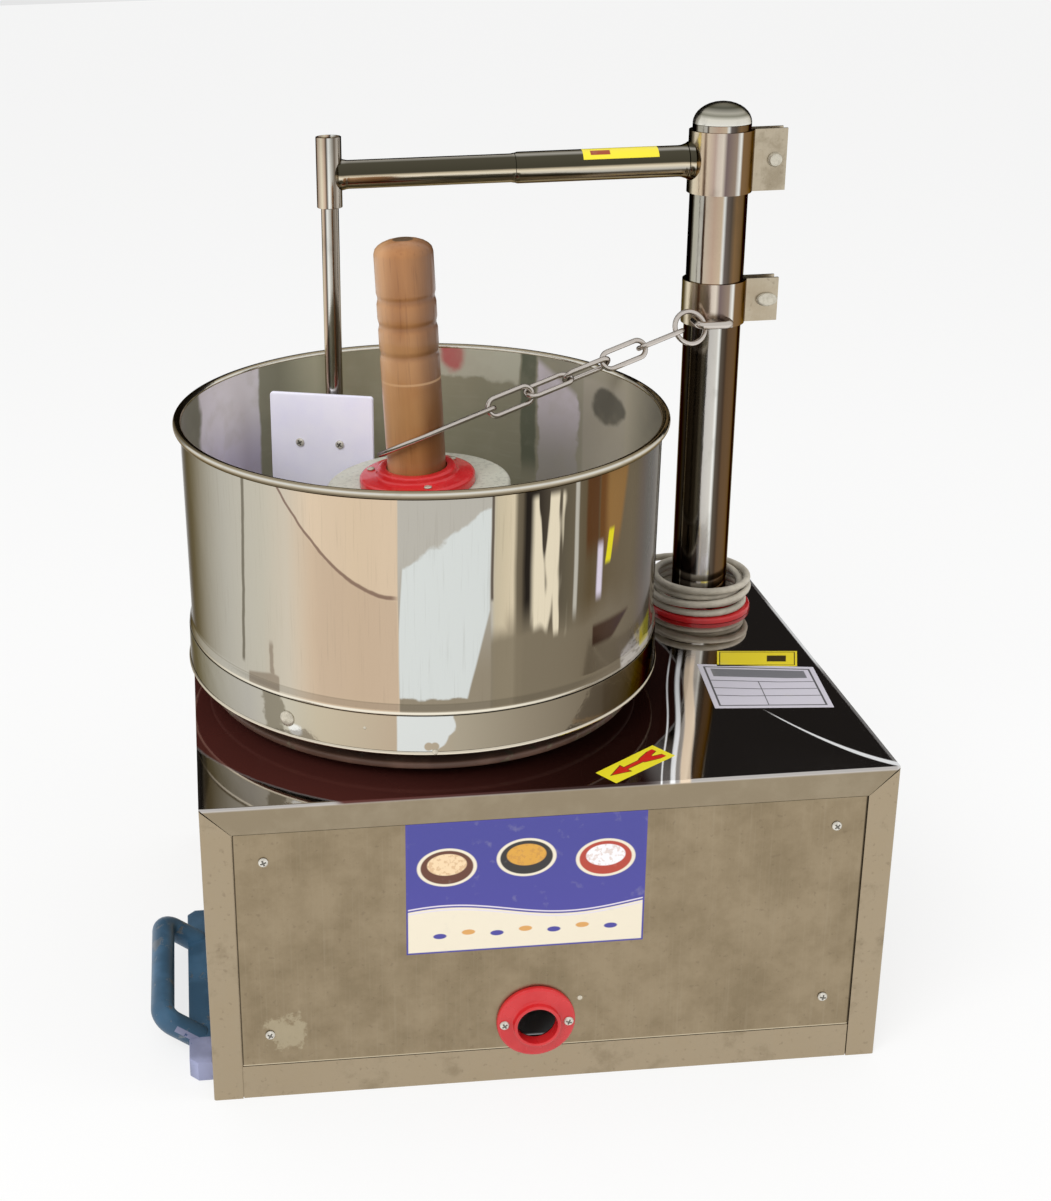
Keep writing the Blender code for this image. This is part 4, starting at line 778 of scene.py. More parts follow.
@dataclass(frozen=True)
class DeckMirror(Finish):
    """The deck's polished top, which mirrors what stands on it."""

    colour: Tone = tone(205, 200, 196)
    roughness: float = 0.04
    slot: str = "mirror_steel"

    def dress(self, recipe: Recipe) -> None:
        """Mirror with faint smears and gentle waves in the sheet, painted reflections of the
        drum's dark underside and of the column, and a painted brown reflection on the front lip.

        Args:
            recipe: The material under construction.
        """
        x, y, z = recipe.axes()
        smear = recipe.noise(30.0, 4.0, 2.0, (0.5, 1.0, 1.0))
        wave = recipe.noise(5.0, 1.0)
        lip = 1.0 - z.rise(DECK - 0.0035, DECK - 0.0012)
        cloud = recipe.noise(26.0, 5.0, 1.0, rough=0.65)
        # Painted brown reflection on the folded front lip, as on the cabinet sheet.
        front = recipe.mix(cloud.rise(0.4, 0.7) * 0.5, KHAKI, tone(168, 155, 132))
        reach = (((x - DRUM_AXIS[0]) ** 2.0 + (y - DRUM_AXIS[1]) ** 2.0) ** 0.5
                 + (smear - 0.5) * 0.006)
        # Painted reflection of the drum's dark maroon underside, round the drum and in front of
        # it.
        near = x.rise(-0.06, -0.02) * (1.0 - x.rise(0.070, 0.110)) * (1.0 - y.rise(-0.12, -0.10))
        shade = (1.0 - reach.rise(0.2275, 0.2315)).most(near) * (1.0 - lip)
        colour = recipe.coats(
            self.colour,
            (smear.rise(0.5, 0.8) * 0.15, PALE_GREY),
            (shade, recipe.mix(x.rise(-0.20, 0.06), tone(94, 48, 42), tone(42, 20, 16))))
        colour, gleam = self.gleams(recipe, colour, x, y)
        painted = (shade * 0.55).most(gleam * (1.0 - lip) * 0.75)
        recipe.surface(recipe.mix(lip, colour, front),
                       smear * 0.05 + (self.roughness - 0.02) + lip * 0.18, 1.0 - painted,
                       height=wave + smear * 0.02, depth=0.0012)

    def gleams(self, recipe: Recipe, colour: Paint, x: Wire, y: Wire) -> tuple[Socket, Wire]:
        """Paint bright reflection streaks bent across the deck, the column's reflection and a
        highlight along the right edge.

        Args:
            recipe: The material under construction.
            colour: The colour so far.
            x: Place along the front.
            y: Place from front to back.

        Returns:
            The colour with the gleams, and their mask.
        """
        run = x - 0.1993
        arc_y = run * run * 10.1 - run * 2.18 - 0.0976
        thick = run.rise(0.005, 0.055) * 0.0022 + 0.0006
        bow = (1.0 - ((abs(y - arc_y) - thick) / 0.0020).rise(0.0, 1.0)) * run.rise(0.0, 0.012)
        side = x - (y + 0.205) * 0.30 - 0.0945 - (y * 40.0).sine() * 0.0012
        fade = (1.0 - y.rise(-0.02, 0.03)) * (1.0 - run.rise(-0.01, 0.0))
        thin = side.band(-0.0075, -0.0060, 0.0006).most(side.band(0.0, 0.0042, 0.001)) * fade
        warm = side.band(0.0078, 0.0165, 0.0012) * fade * 0.85
        edge = x.rise(0.2735, 0.2750) * (y.band(-0.03, 0.11, 0.02) * 0.7 + 0.3)
        colour = recipe.coats(
            colour,
            (warm, tone(240, 216, 186)),
            (thin.most(edge).most(bow), tone(244, 245, 246)))
        return colour, thin.most(warm).most(edge).most(bow)


@dataclass(frozen=True)
class Granite(Finish):
    """Ground granite with fine dark and light grains."""

    colour: Tone = tone(150, 150, 138)
    roughness: float = 0.55
    grain: float = 1.0
    slot: str = "granite"

    def dress(self, recipe: Recipe) -> None:
        """Grains of three sizes under a worn, slightly greasy face.

        Args:
            recipe: The material under construction.
        """
        near, pick = recipe.grains(420.0)
        cloud = recipe.noise(35.0, 4.0)
        fine = recipe.noise(900.0, 2.0, 3.0)
        colour = recipe.coats(
            self.colour,
            (cloud.rise(0.35, 0.7) * 0.4, tone(176, 172, 156)),
            (pick.rise(0.72, 0.80) * 0.35 * self.grain, tone(208, 204, 190)),
            ((1.0 - pick.rise(0.14, 0.22)) * 0.45 * self.grain, tone(84, 84, 78)),
            (fine.rise(0.55, 0.75) * 0.25 * self.grain, tone(112, 112, 104)))
        recipe.surface(colour, cloud * 0.2 + (self.roughness - 0.1),
                       height=fine * 0.5 + near * 0.5, depth=0.0003)


@dataclass(frozen=True)
class Hardwood(Finish):
    """Turned and lacquered hardwood, its grain along the handle."""

    colour: Tone = tone(156, 105, 60)
    roughness: float = 0.34
    slot: str = "wood"

    def dress(self, recipe: Recipe) -> None:
        """Long grain with fine pores, darker in the turned grooves and on the dome, with painted
        light on its left side and painted shade on its right.

        Args:
            recipe: The material under construction.
        """
        x, y, z = recipe.axes()
        rings = recipe.noise(46.0, 4.0, 1.0, (1.0, 1.0, 0.07), rough=0.6)
        pores = recipe.noise(420.0, 2.0, 4.0, (1.0, 1.0, 0.05))
        blush = recipe.noise(24.0, 2.0, 7.0, (1.0, 1.0, 0.6))
        grime = recipe.noise(160.0, 3.0, 2.0)
        reach = (x * x + y * y) ** 0.5
        grooves = None
        for height in GROOVES:
            cut = 1.0 - abs(z - height).rise(0.0006, 0.0052)
            grooves = cut if grooves is None else grooves.most(cut)
        # Painted light on the handle's left side and painted shade on its right.
        side = x * 0.985 + y * -0.17
        ring = abs(z - GRIP_BASE - GRIP_LENGTH * 0.441)
        dome = z.rise(GRIP_END - 0.006, GRIP_END - 0.0005)
        colour = recipe.coats(
            self.colour,
            (rings.rise(0.38, 0.62) * 0.75, tone(172, 120, 72)),
            ((1.0 - rings.rise(0.30, 0.42)) * 0.7, tone(140, 88, 46)),
            (pores.rise(0.58, 0.72) * 0.4, tone(124, 78, 42)),
            (blush.rise(0.5, 0.72) * 0.25, tone(206, 164, 116)),
            (grooves * 0.35, tone(112, 68, 38)),
            ((1.0 - side.rise(-0.024, -0.004)) * 0.45, tone(226, 180, 134)),
            (side.rise(-0.001, 0.024) * 0.72, tone(84, 50, 26)),
            ((1.0 - ring.rise(0.0005, 0.0014)) * 0.5, tone(214, 172, 128)),
            (dome * (1.0 - (reach + (grime - 0.5) * 0.003).rise(0.0078, 0.0094)) * 0.85,
             tone(70, 56, 38)))
        recipe.surface(colour, grime * 0.25 + (self.roughness - 0.12), coat=0.25,
                       height=rings * 0.4 + pores * 0.6, depth=0.0003)


@dataclass(frozen=True)
class Moulded(Finish):
    """Moulded plastic with a faint orange peel and scuffs."""

    roughness: float = 0.28
    coat: float = 0.0
    scuff: Tone = STEEL
    scuff_share: float = 0.2

    def dress(self, recipe: Recipe) -> None:
        """Even colour, faint clouds and scattered scuffs.

        Args:
            recipe: The material under construction.
        """
        cloud = recipe.noise(40.0)
        peel = recipe.noise(600.0, 2.0, 2.0)
        scratch = recipe.noise(180.0, 5.0, 5.0, (1.0, 0.3, 1.6), rough=0.7)
        colour = recipe.coats(
            self.colour,
            (cloud.rise(0.35, 0.75) * self.scuff_share, self.scuff),
            (scratch.rise(0.63, 0.70) * self.scuff_share, self.scuff))
        recipe.surface(colour, cloud * 0.14 + (self.roughness - 0.07), coat=self.coat,
                       height=peel * 0.3 + scratch * 0.4, depth=0.0002)


@dataclass(frozen=True)
class WornPaint(Finish):
    """Brushed paint on steel, rubbed through in places."""

    roughness: float = 0.42
    rubbed: Tone = tone(120, 118, 120)
    wear: float = 0.5

    def dress(self, recipe: Recipe) -> None:
        """Paint with brush marks, and the metal where it is rubbed off.

        Args:
            recipe: The material under construction.
        """
        patch = recipe.noise(55.0, 6.0, 3.0, rough=0.7)
        cloud = recipe.noise(30.0)
        brush = recipe.noise(240.0, 3.0, 6.0, (1.0, 0.1, 1.0))
        bare = patch.rise(0.72 - 0.16 * self.wear, 0.76 - 0.16 * self.wear)
        lighter = tuple(min(1.0, c * 1.8 + 0.01) for c in self.colour[:3]) + (1.0,)
        colour = recipe.coats(
            self.colour,
            (cloud.rise(0.4, 0.7) * 0.6, lighter),
            (bare, self.rubbed))
        recipe.surface(colour, cloud * 0.2 + (self.roughness - 0.1), bare * 0.7,
                       height=brush * 0.4 - bare * 0.5, depth=0.0003)


@dataclass(frozen=True)
class Casting(Finish):
    """Rough or machined iron and dark steel."""

    colour: Tone = tone(72, 74, 76)
    roughness: float = 0.55
    metallic: float = 0.8

    def dress(self, recipe: Recipe) -> None:
        """Grainy skin with darker hollows and a breath of rust.

        Args:
            recipe: The material under construction.
        """
        skin = recipe.noise(320.0, 4.0, 1.0, rough=0.65)
        cloud = recipe.noise(40.0, 4.0, 2.0)
        colour = recipe.coats(
            self.colour,
            (skin.rise(0.4, 0.7) * 0.4, tone(112, 112, 110)),
            (cloud.rise(0.58, 0.72) * 0.3, tone(96, 66, 48)))
        recipe.surface(colour, cloud * 0.2 + (self.roughness - 0.1), self.metallic,
                       height=skin, depth=0.0004)


@dataclass(frozen=True)
class ScrewSteel(Finish):
    """Bright screw or bolt, with a cross recess where it has one."""

    colour: Tone = tone(222, 218, 208)
    roughness: float = 0.24
    cross: float = 0.0
    metallic: float = 0.5
    slot: str = "screw_steel"

    def dress(self, recipe: Recipe) -> None:
        """Bright metal with turning marks and a cross recess darkened with painted shade.

        Args:
            recipe: The material under construction.
        """
        x, y, z = recipe.axes()
        cloud = recipe.noise(300.0)
        colour = recipe.mix(cloud.rise(0.4, 0.7) * 0.35, self.colour, tone(150, 142, 126))
        height = cloud * 0.3
        if self.cross:
            length = 1.0 - abs(x).most(abs(y)).rise(self.cross * 0.9, self.cross)
            slot = (1.0 - abs(x).least(abs(y)).rise(self.cross * 0.2, self.cross * 0.3)) * length
            slot = slot * z.rise(0.0, 0.0003)
            # Painted shade in the cross recess, which only the bump carves.
            colour = recipe.mix(slot * 0.85, colour, tone(60, 56, 48))
            height = height - slot
        recipe.surface(colour, self.roughness, self.metallic, height=height, depth=0.0006)


@dataclass(frozen=True)
class Sheath(Finish):
    """Soft plastic sheath of the mains lead, dulled by flour dust."""

    colour: Tone = tone(188, 180, 164)
    roughness: float = 0.5
    slot: str = "cord_grey"

    def dress(self, recipe: Recipe) -> None:
        """Dusty sheath with darker grips of dirt.

        Args:
            recipe: The material under construction.
        """
        dust = recipe.noise(120.0, 4.0)
        dirt = recipe.noise(45.0, 3.0, 5.0)
        colour = recipe.coats(
            self.colour,
            (dust.rise(0.4, 0.65) * 0.5, tone(208, 200, 184)),
            (dirt.rise(0.5, 0.7) * 0.4, tone(146, 138, 124)))
        recipe.surface(colour, dust * 0.2 + (self.roughness - 0.1), height=dust, depth=0.0002)


class Sketch:
    """The print of one label, drawn on the label's own print map."""

    def __init__(self, recipe: Recipe, aspect: float) -> None:
        """Start on a label that is aspect times as wide as it is high."""
        self.recipe, self.aspect = recipe, aspect
        self.u, self.v = recipe.print_axes()

    def disc(self, centre: Spot, radius: float, flat: float = 1.0) -> Wire:
        """Mask of a disc or an oval.

        Args:
            centre: The disc's middle.
            radius: Its radius as a share of the label's height.
            flat: Height of an oval as a share of its width.

        Returns:
            The mask.
        """
        dx = (self.u - centre[0]) * self.aspect
        dy = (self.v - centre[1]) / flat
        return 1.0 - ((dx * dx + dy * dy) ** 0.5).rise(radius - 0.006, radius + 0.006)

    def edge_line(self, inset: float, width: float) -> Wire:
        """Mask of a line that runs along the label's edge.

        Args:
            inset: Distance from the edge as a share of the height.
            width: Width of the line as a share of the height.

        Returns:
            The mask.
        """
        edge = (0.5 - abs(self.u - 0.5)) * self.aspect
        return edge.least(0.5 - abs(self.v - 0.5)).band(inset, inset + width, 0.004)

    def front(self) -> Socket:
        """Cream dishes of batter and grain on a blue field over a cream wave.

        Returns:
            The colour.
        """
        recipe, u, v = self.recipe, self.u, self.v
        blue, cream = tone(66, 62, 150), tone(232, 222, 200)
        wave = (u * 6.0 + 0.6).sine() * 0.05 + 0.30
        colour = recipe.coats(
            blue, (v.rise(0.2, 0.9) * 0.35, tone(52, 58, 132)),
            (1.0 - (v - wave).rise(-0.004, 0.004), cream),
            (abs(v - wave).band(0.012, 0.022, 0.003), tone(222, 214, 226)))
        crumbs = recipe.noise(340.0, 2.0).rise(0.5, 0.62)
        for across, up, dish, food in (
                (0.17, 0.66, tone(96, 52, 34), tone(236, 208, 168)),
                (0.50, 0.70, tone(40, 36, 34), tone(214, 158, 58)),
                (0.83, 0.66, tone(176, 60, 40), tone(240, 238, 240))):
            heap = self.disc((across, up + 0.02), 0.20 * 0.66, 0.62)
            colour = recipe.coats(
                colour, (self.disc((across, up), 0.20, 0.72), cream),
                (self.disc((across, up), 0.20 * 0.88, 0.72), dish), (heap, food),
                (heap * crumbs * 0.35, tone(178, 120, 62)))
        for index in range(7):
            grain = self.disc((0.14 + 0.12 * index, 0.13 + 0.02 * (index % 2)), 0.045, 0.45)
            colour = recipe.mix(grain, colour, tone(214, 158, 88) if index % 2 else blue)
        return recipe.mix(self.edge_line(-0.01, 0.022), colour, blue)

    def arrow(self) -> Socket:
        """Red arrow with a dark outline on yellow."""
        return self.recipe.coats(tone(238, 224, 44), (self.arrow_mask(0.03), tone(60, 30, 16)),
                                 (self.arrow_mask(0.0), tone(206, 34, 22)))

    def arrow_mask(self, grow: float) -> Wire:
        """Mask of the arrow.

        Args:
            grow: How much it is widened on every side.

        Returns:
            The mask.
        """
        u, off = self.u, abs(self.v - 0.5)
        shaft = (1.0 - off.rise(0.07 + grow, 0.09 + grow)) * u.band(0.25, 0.80, 0.005)
        head = ((1.0 - (off - (u - 0.10 + grow) * 1.1).rise(-0.01, 0.01))
                * (1.0 - u.rise(0.33 + grow * 0.4, 0.34 + grow * 0.4)))
        vane = off - (u - 0.62) * 0.8
        tail = ((1.0 - abs(vane - 0.02).rise(0.10 + grow, 0.12 + grow))
                * u.band(0.62 - grow * 0.4, 0.92, 0.005) * (1.0 - off.rise(0.31, 0.33)))
        return shaft.most(head).most(tail)

    def small(self) -> Socket:
        """Bare yellow foil with a dark frame line and one bar.

        Returns:
            The colour.
        """
        bar = self.u.band(0.62, 0.86, 0.004) * self.v.band(0.30, 0.70, 0.01)
        return self.recipe.coats(tone(236, 214, 40), (self.edge_line(0.06, 0.03),
                                                      tone(70, 56, 18)), (bar, tone(60, 48, 20)))

    def rating(self) -> Socket:
        """Silver plate with empty ruled fields.

        Returns:
            The colour.
        """
        u, v, ink = self.u, self.v, tone(84, 84, 86)
        rules = [v.band(height, height + 0.014, 0.003) * u.band(0.06, 0.94, 0.003)
                 for height in (0.28, 0.45, 0.62)]
        column = u.band(0.46, 0.468, 0.002) * v.band(0.07, 0.63, 0.003)
        title = v.band(0.72, 0.90, 0.004) * u.band(0.10, 0.90, 0.003)
        inked = [(mask, ink) for mask in (self.edge_line(0.05, 0.02), *rules, column)]
        return self.recipe.coats(tone(208, 204, 214), *inked, (title, tone(120, 120, 124)))

    def arm(self) -> Socket:
        """Yellow foil with an orange bar."""
        return self.recipe.mix(self.u.band(0.10, 0.36, 0.006) * self.v.band(0.30, 0.70, 0.02),
                               tone(232, 216, 44), tone(150, 62, 24))


class Print(Enum):
    """The plates and labels on the machine."""

    FRONT = "front"
    ARROW = "arrow"
    SMALL = "small"
    RATING = "rating"
    ARM = "arm"


@dataclass(frozen=True)
class LabelPrint(Finish):
    """Glossy printed foil."""

    design: Print = Print.SMALL
    aspect: float = 1.0
    roughness: float = 0.30

    def dress(self, recipe: Recipe) -> None:
        """Draw the label's design and scuff it.

        Args:
            recipe: The material under construction.
        """
        sketch = Sketch(recipe, self.aspect)
        drawn = {Print.FRONT: sketch.front, Print.ARROW: sketch.arrow, Print.SMALL: sketch.small,
                 Print.RATING: sketch.rating, Print.ARM: sketch.arm}[self.design]()
        scuff = recipe.noise(90.0, 4.0)
        recipe.surface(recipe.mix(scuff.rise(0.6, 0.75) * 0.15, drawn, tone(190, 186, 176)),
                       scuff * 0.15 + (self.roughness - 0.05), coat=0.2, height=scuff,
                       depth=0.00015)


DRUM_RIGHT = (0.9913, -0.1318, 0.0)
COLUMN_RIGHT = (0.9545, -0.2981, 0.0)

# The stops of the steels below, up to the chain's wire, are painted reflections along each round
# piece, with painted highlights and dark edges.
DRUM_OUTSIDE = DrumSteel("drum_outside_steel", right=DRUM_RIGHT, radius=0.204, waver=0.012,
                         edge_tint=tone(120, 112, 98), stops=(
    (0.000, BLACK_EDGE), (0.010, DARK_OLIVE), (0.022, tone(188, 182, 166)),
    (0.120, tone(192, 188, 176)), (0.200, tone(194, 188, 172)), (0.250, tone(204, 194, 176)),
    (0.300, tone(220, 199, 172)), (0.380, tone(212, 190, 162)), (0.455, tone(214, 192, 165)),
    (0.632, PALE_GREY), (0.638, tone(196, 184, 158)), (0.660, tone(206, 192, 164)),
    (0.674, tone(214, 200, 172)), (0.677, tone(112, 102, 84)),
    (0.689, tone(96, 86, 70)), (0.693, BLACK_EDGE), (0.712, tone(44, 38, 32)),
    (0.745, tone(84, 76, 64)), (0.772, tone(96, 88, 72)), (0.790, tone(104, 94, 76)),
    (0.820, tone(92, 78, 56)), (0.905, tone(108, 96, 76)), (0.965, tone(100, 92, 75)),
    (0.988, DARK_OLIVE), (1.000, BLACK_EDGE)))
DRUM_SKIRT = SkirtSteel("drum_skirt_steel", right=DRUM_RIGHT, radius=0.203, waver=0.02,
                        edge_tint=tone(130, 122, 106), stops=(
    (0.00, BLACK_EDGE), (0.02, GREY_GREEN), (0.16, PALE_GREY), (0.24, tone(196, 190, 172)),
    (0.30, tone(196, 184, 160)), (0.45, tone(186, 168, 144)), (0.57, tone(168, 158, 138)),
    (0.70, tone(144, 133, 114)), (0.855, tone(114, 103, 86)), (0.862, tone(104, 92, 75)),
    (0.95, tone(112, 100, 80)), (0.98, DARK_OLIVE), (1.00, BLACK_EDGE)))
DRUM_INSIDE = InnerSteel("drum_inside_steel", right=DRUM_RIGHT, radius=0.204, stops=(
    (0.00, tone(124, 124, 110)), (0.10, tone(166, 164, 146)), (0.18, tone(142, 140, 122)),
    (0.26, tone(178, 174, 150)), (0.30, tone(150, 144, 120)), (0.45, tone(166, 162, 138)),
    (0.62, tone(158, 154, 132)), (0.74, tone(152, 148, 128)), (0.86, tone(166, 160, 144)),
    (0.95, tone(188, 180, 162)), (1.00, tone(112, 110, 98))))
DRUM_RIM = RimSteel("drum_rim_steel", right=DRUM_RIGHT, radius=0.208, stops=(
    (0.00, tone(66, 58, 46)), (0.22, tone(104, 94, 76)), (0.42, tone(126, 114, 94)),
    (0.55, tone(176, 164, 142)), (0.66, tone(232, 224, 206)), (0.76, NEAR_WHITE),
    (0.84, tone(204, 194, 172)), (0.92, tone(150, 138, 114)), (1.00, tone(170, 158, 134))))
COLUMN_STEEL = BandedSteel(
    "column_steel", right=COLUMN_RIGHT, radius=0.0254, roughness=0.12, lower_from=DECK + 0.292,
    stops=(
        (0.00, BLACK_EDGE), (0.07, BLACK_EDGE), (0.11, GREY_GREEN), (0.25, STEEL),
        (0.275, UMBER), (0.30, tone(200, 186, 166)), (0.45, ROSE_BEIGE), (0.58, PEACH),
        (0.62, NEAR_WHITE), (0.66, tone(110, 100, 94)), (0.74, tone(86, 76, 66)), (0.82, BROWN),
        (0.92, tone(108, 84, 56)), (0.95, BLACK_EDGE), (1.00, BLACK_EDGE)),
    lower_stops=(
        (0.00, BLACK_EDGE), (0.14, BLACK_EDGE), (0.155, PALE_GREY), (0.17, tone(70, 63, 58)),
        (0.34, tone(88, 82, 76)), (0.38, tone(180, 176, 172)), (0.60, tone(206, 202, 194)),
        (0.64, NEAR_WHITE), (0.68, tone(92, 84, 74)), (0.76, UMBER), (0.80, tone(96, 74, 52)),
        (0.93, tone(106, 82, 58)), (0.96, BLACK_EDGE), (1.00, BLACK_EDGE)))
CLAMP_STEEL = BandedSteel("clamp_steel", right=COLUMN_RIGHT, radius=0.0285, roughness=0.18, stops=(
    (0.00, BLACK_EDGE), (0.05, OLIVE), (0.10, CREAM), (0.24, PEACH), (0.27, tone(132, 112, 92)),
    (0.30, tone(214, 196, 172)), (0.42, tone(184, 162, 148)), (0.47, tone(208, 194, 180)),
    (0.54, tone(220, 208, 192)),
    (0.60, tone(118, 102, 100)), (0.74, tone(150, 132, 116)), (0.80, NEAR_WHITE), (0.83, BROWN),
    (1.00, tone(120, 92, 62))))
EAR_STEEL = SheetSteel("clamp_ear_steel", tone(196, 184, 162), 0.3)
PIPE_STEEL = BandedSteel("arm_pipe_steel", right=(1.0, 0.0, 0.0), radius=0.0138, roughness=0.14,
                         stops=(
    (0.00, BLACK_EDGE), (0.06, UMBER), (0.12, tone(150, 136, 108)), (0.22, tone(176, 158, 128)),
    (0.30, tone(84, 76, 62)), (0.36, PALE_GREY), (0.47, CREAM), (0.52, tone(186, 172, 146)),
    (0.56, DARK_OLIVE), (0.88, tone(84, 80, 66)), (0.94, PALE_GREY), (1.00, DARK_OLIVE)))
ROD_STEEL = BandedSteel("rod_steel", right=(0.97, -0.24, 0.0), radius=0.0112, roughness=0.14,
                        stops=(
    (0.00, DARK_OLIVE), (0.10, tone(170, 150, 134)), (0.28, CREAM), (0.40, ROSE_BEIGE),
    (0.48, UMBER), (0.56, NEAR_WHITE), (0.68, PALE_GREY), (0.78, tone(110, 98, 84)),
    (0.90, tone(196, 188, 176)), (1.00, UMBER)))
# Painted highlight: the cap's colour follows its height, a bright band low on the dome and darker
# reflections above it.
CAP_STEEL = BandedSteel("column_cap_steel", right=(0.0, 0.0, 1.0), radius=0.0185, roughness=0.2,
                        waver=0.3, stops=(
    (0.00, BLACK_EDGE), (0.50, tone(250, 248, 238)), (0.66, tone(240, 236, 222)),
    (0.74, tone(150, 148, 132)), (0.80, tone(190, 186, 172)), (0.90, tone(96, 96, 84)),
    (1.00, tone(150, 148, 136))))
WIRE_STEEL = BandedSteel("chain_wire_steel", right=(0.0, 0.3, 1.0), radius=0.05, roughness=0.2,
                         waver=2.4, edge_tint=tone(110, 98, 88), stops=(
    (0.00, tone(196, 188, 180)), (0.30, tone(236, 230, 222)), (0.50, tone(248, 244, 240)),
    (0.66, tone(206, 198, 190)), (0.80, tone(252, 250, 246)), (1.00, tone(214, 206, 198))))
DECK_TOP = DeckMirror("deck_mirror")
SHEET = SheetSteel("cabinet_sheet")
PANEL = SheetSteel("panel_sheet", tone(150, 134, 108), stain_x=-0.216, framed=True)
SHEET_CAD = SheetSteel("front_frame_sheet", on_cad=True)
RED = Moulded("red_moulding", tone(196, 24, 30), 0.26, slot="red_plastic", coat=0.35,
              scuff=tone(222, 66, 66), scuff_share=0.35)
LAVENDER = Moulded("lavender_blade", tone(243, 241, 255), 0.40, slot="white_plastic",
                   scuff=tone(228, 225, 255), scuff_share=0.3)
BLACK_RUBBER = Moulded("black_rubber", tone(34, 34, 36), 0.5, slot="black_rubber",
                       scuff=tone(70, 70, 70))
BLACK_CAD = Moulded("black_belt", tone(34, 34, 36), 0.6, on_cad=True, scuff=tone(70, 70, 70))
WHITE_CAD = Moulded("white_capacitor", tone(214, 212, 206), 0.4, on_cad=True,
                    scuff=tone(180, 178, 170))
BLUE = WornPaint("blue_handle_paint", tone(50, 84, 110), 0.38, slot="blue_paint",
                 rubbed=tone(116, 126, 136), wear=0.8)
# Painted light: the bar's ends get this lighter lavender, while the part between the grip's legs,
# in the grip's shade, stays blue; its rubbed patches are real wear.
LILAC = WornPaint("handle_end_lit_and_worn", tone(128, 132, 160), 0.4, rubbed=tone(70, 92, 130))
DARK_PAINT = WornPaint("dark_frame_paint", tone(58, 58, 62), 0.5, on_cad=True,
                       rubbed=tone(110, 104, 98), wear=0.3)
PRIMER = WornPaint("brown_primer", tone(88, 64, 52), 0.5, slot="dark_steel",
                   rubbed=tone(124, 112, 94), wear=0.9)
MOTOR_GREEN = WornPaint("motor_green_paint", tone(52, 74, 62), 0.45, on_cad=True, wear=0.2)
IRON_CAD = Casting("drive_casting", on_cad=True)
STEEL_CAD = ScrewSteel("machined_steel", on_cad=True)
SCREW = ScrewSteel("cross_screw", cross=0.0026)
BOLT = ScrewSteel("bolt_head", tone(204, 198, 182), 0.26)
RIVET = ScrewSteel("rivet_head", tone(206, 198, 180), 0.2)
GRANITE = Granite("ground_granite")
PESTLE_GRANITE = Granite("pestle_granite", tone(198, 198, 184), 0.36, grain=0.45)
WOOD = Hardwood("turned_hardwood")
CORD = Sheath("mains_sheath", on_cad=True)


def linked(name: str, data: bpy.types.ID) -> Item:
    """Put an object in the scene.

    Args:
        name: Its name.
        data: Its mesh, curve, camera or light.

    Returns:
        The object.
    """
    item = bpy.data.objects.new(name, data)
    bpy.context.scene.collection.objects.link(item)
    return item


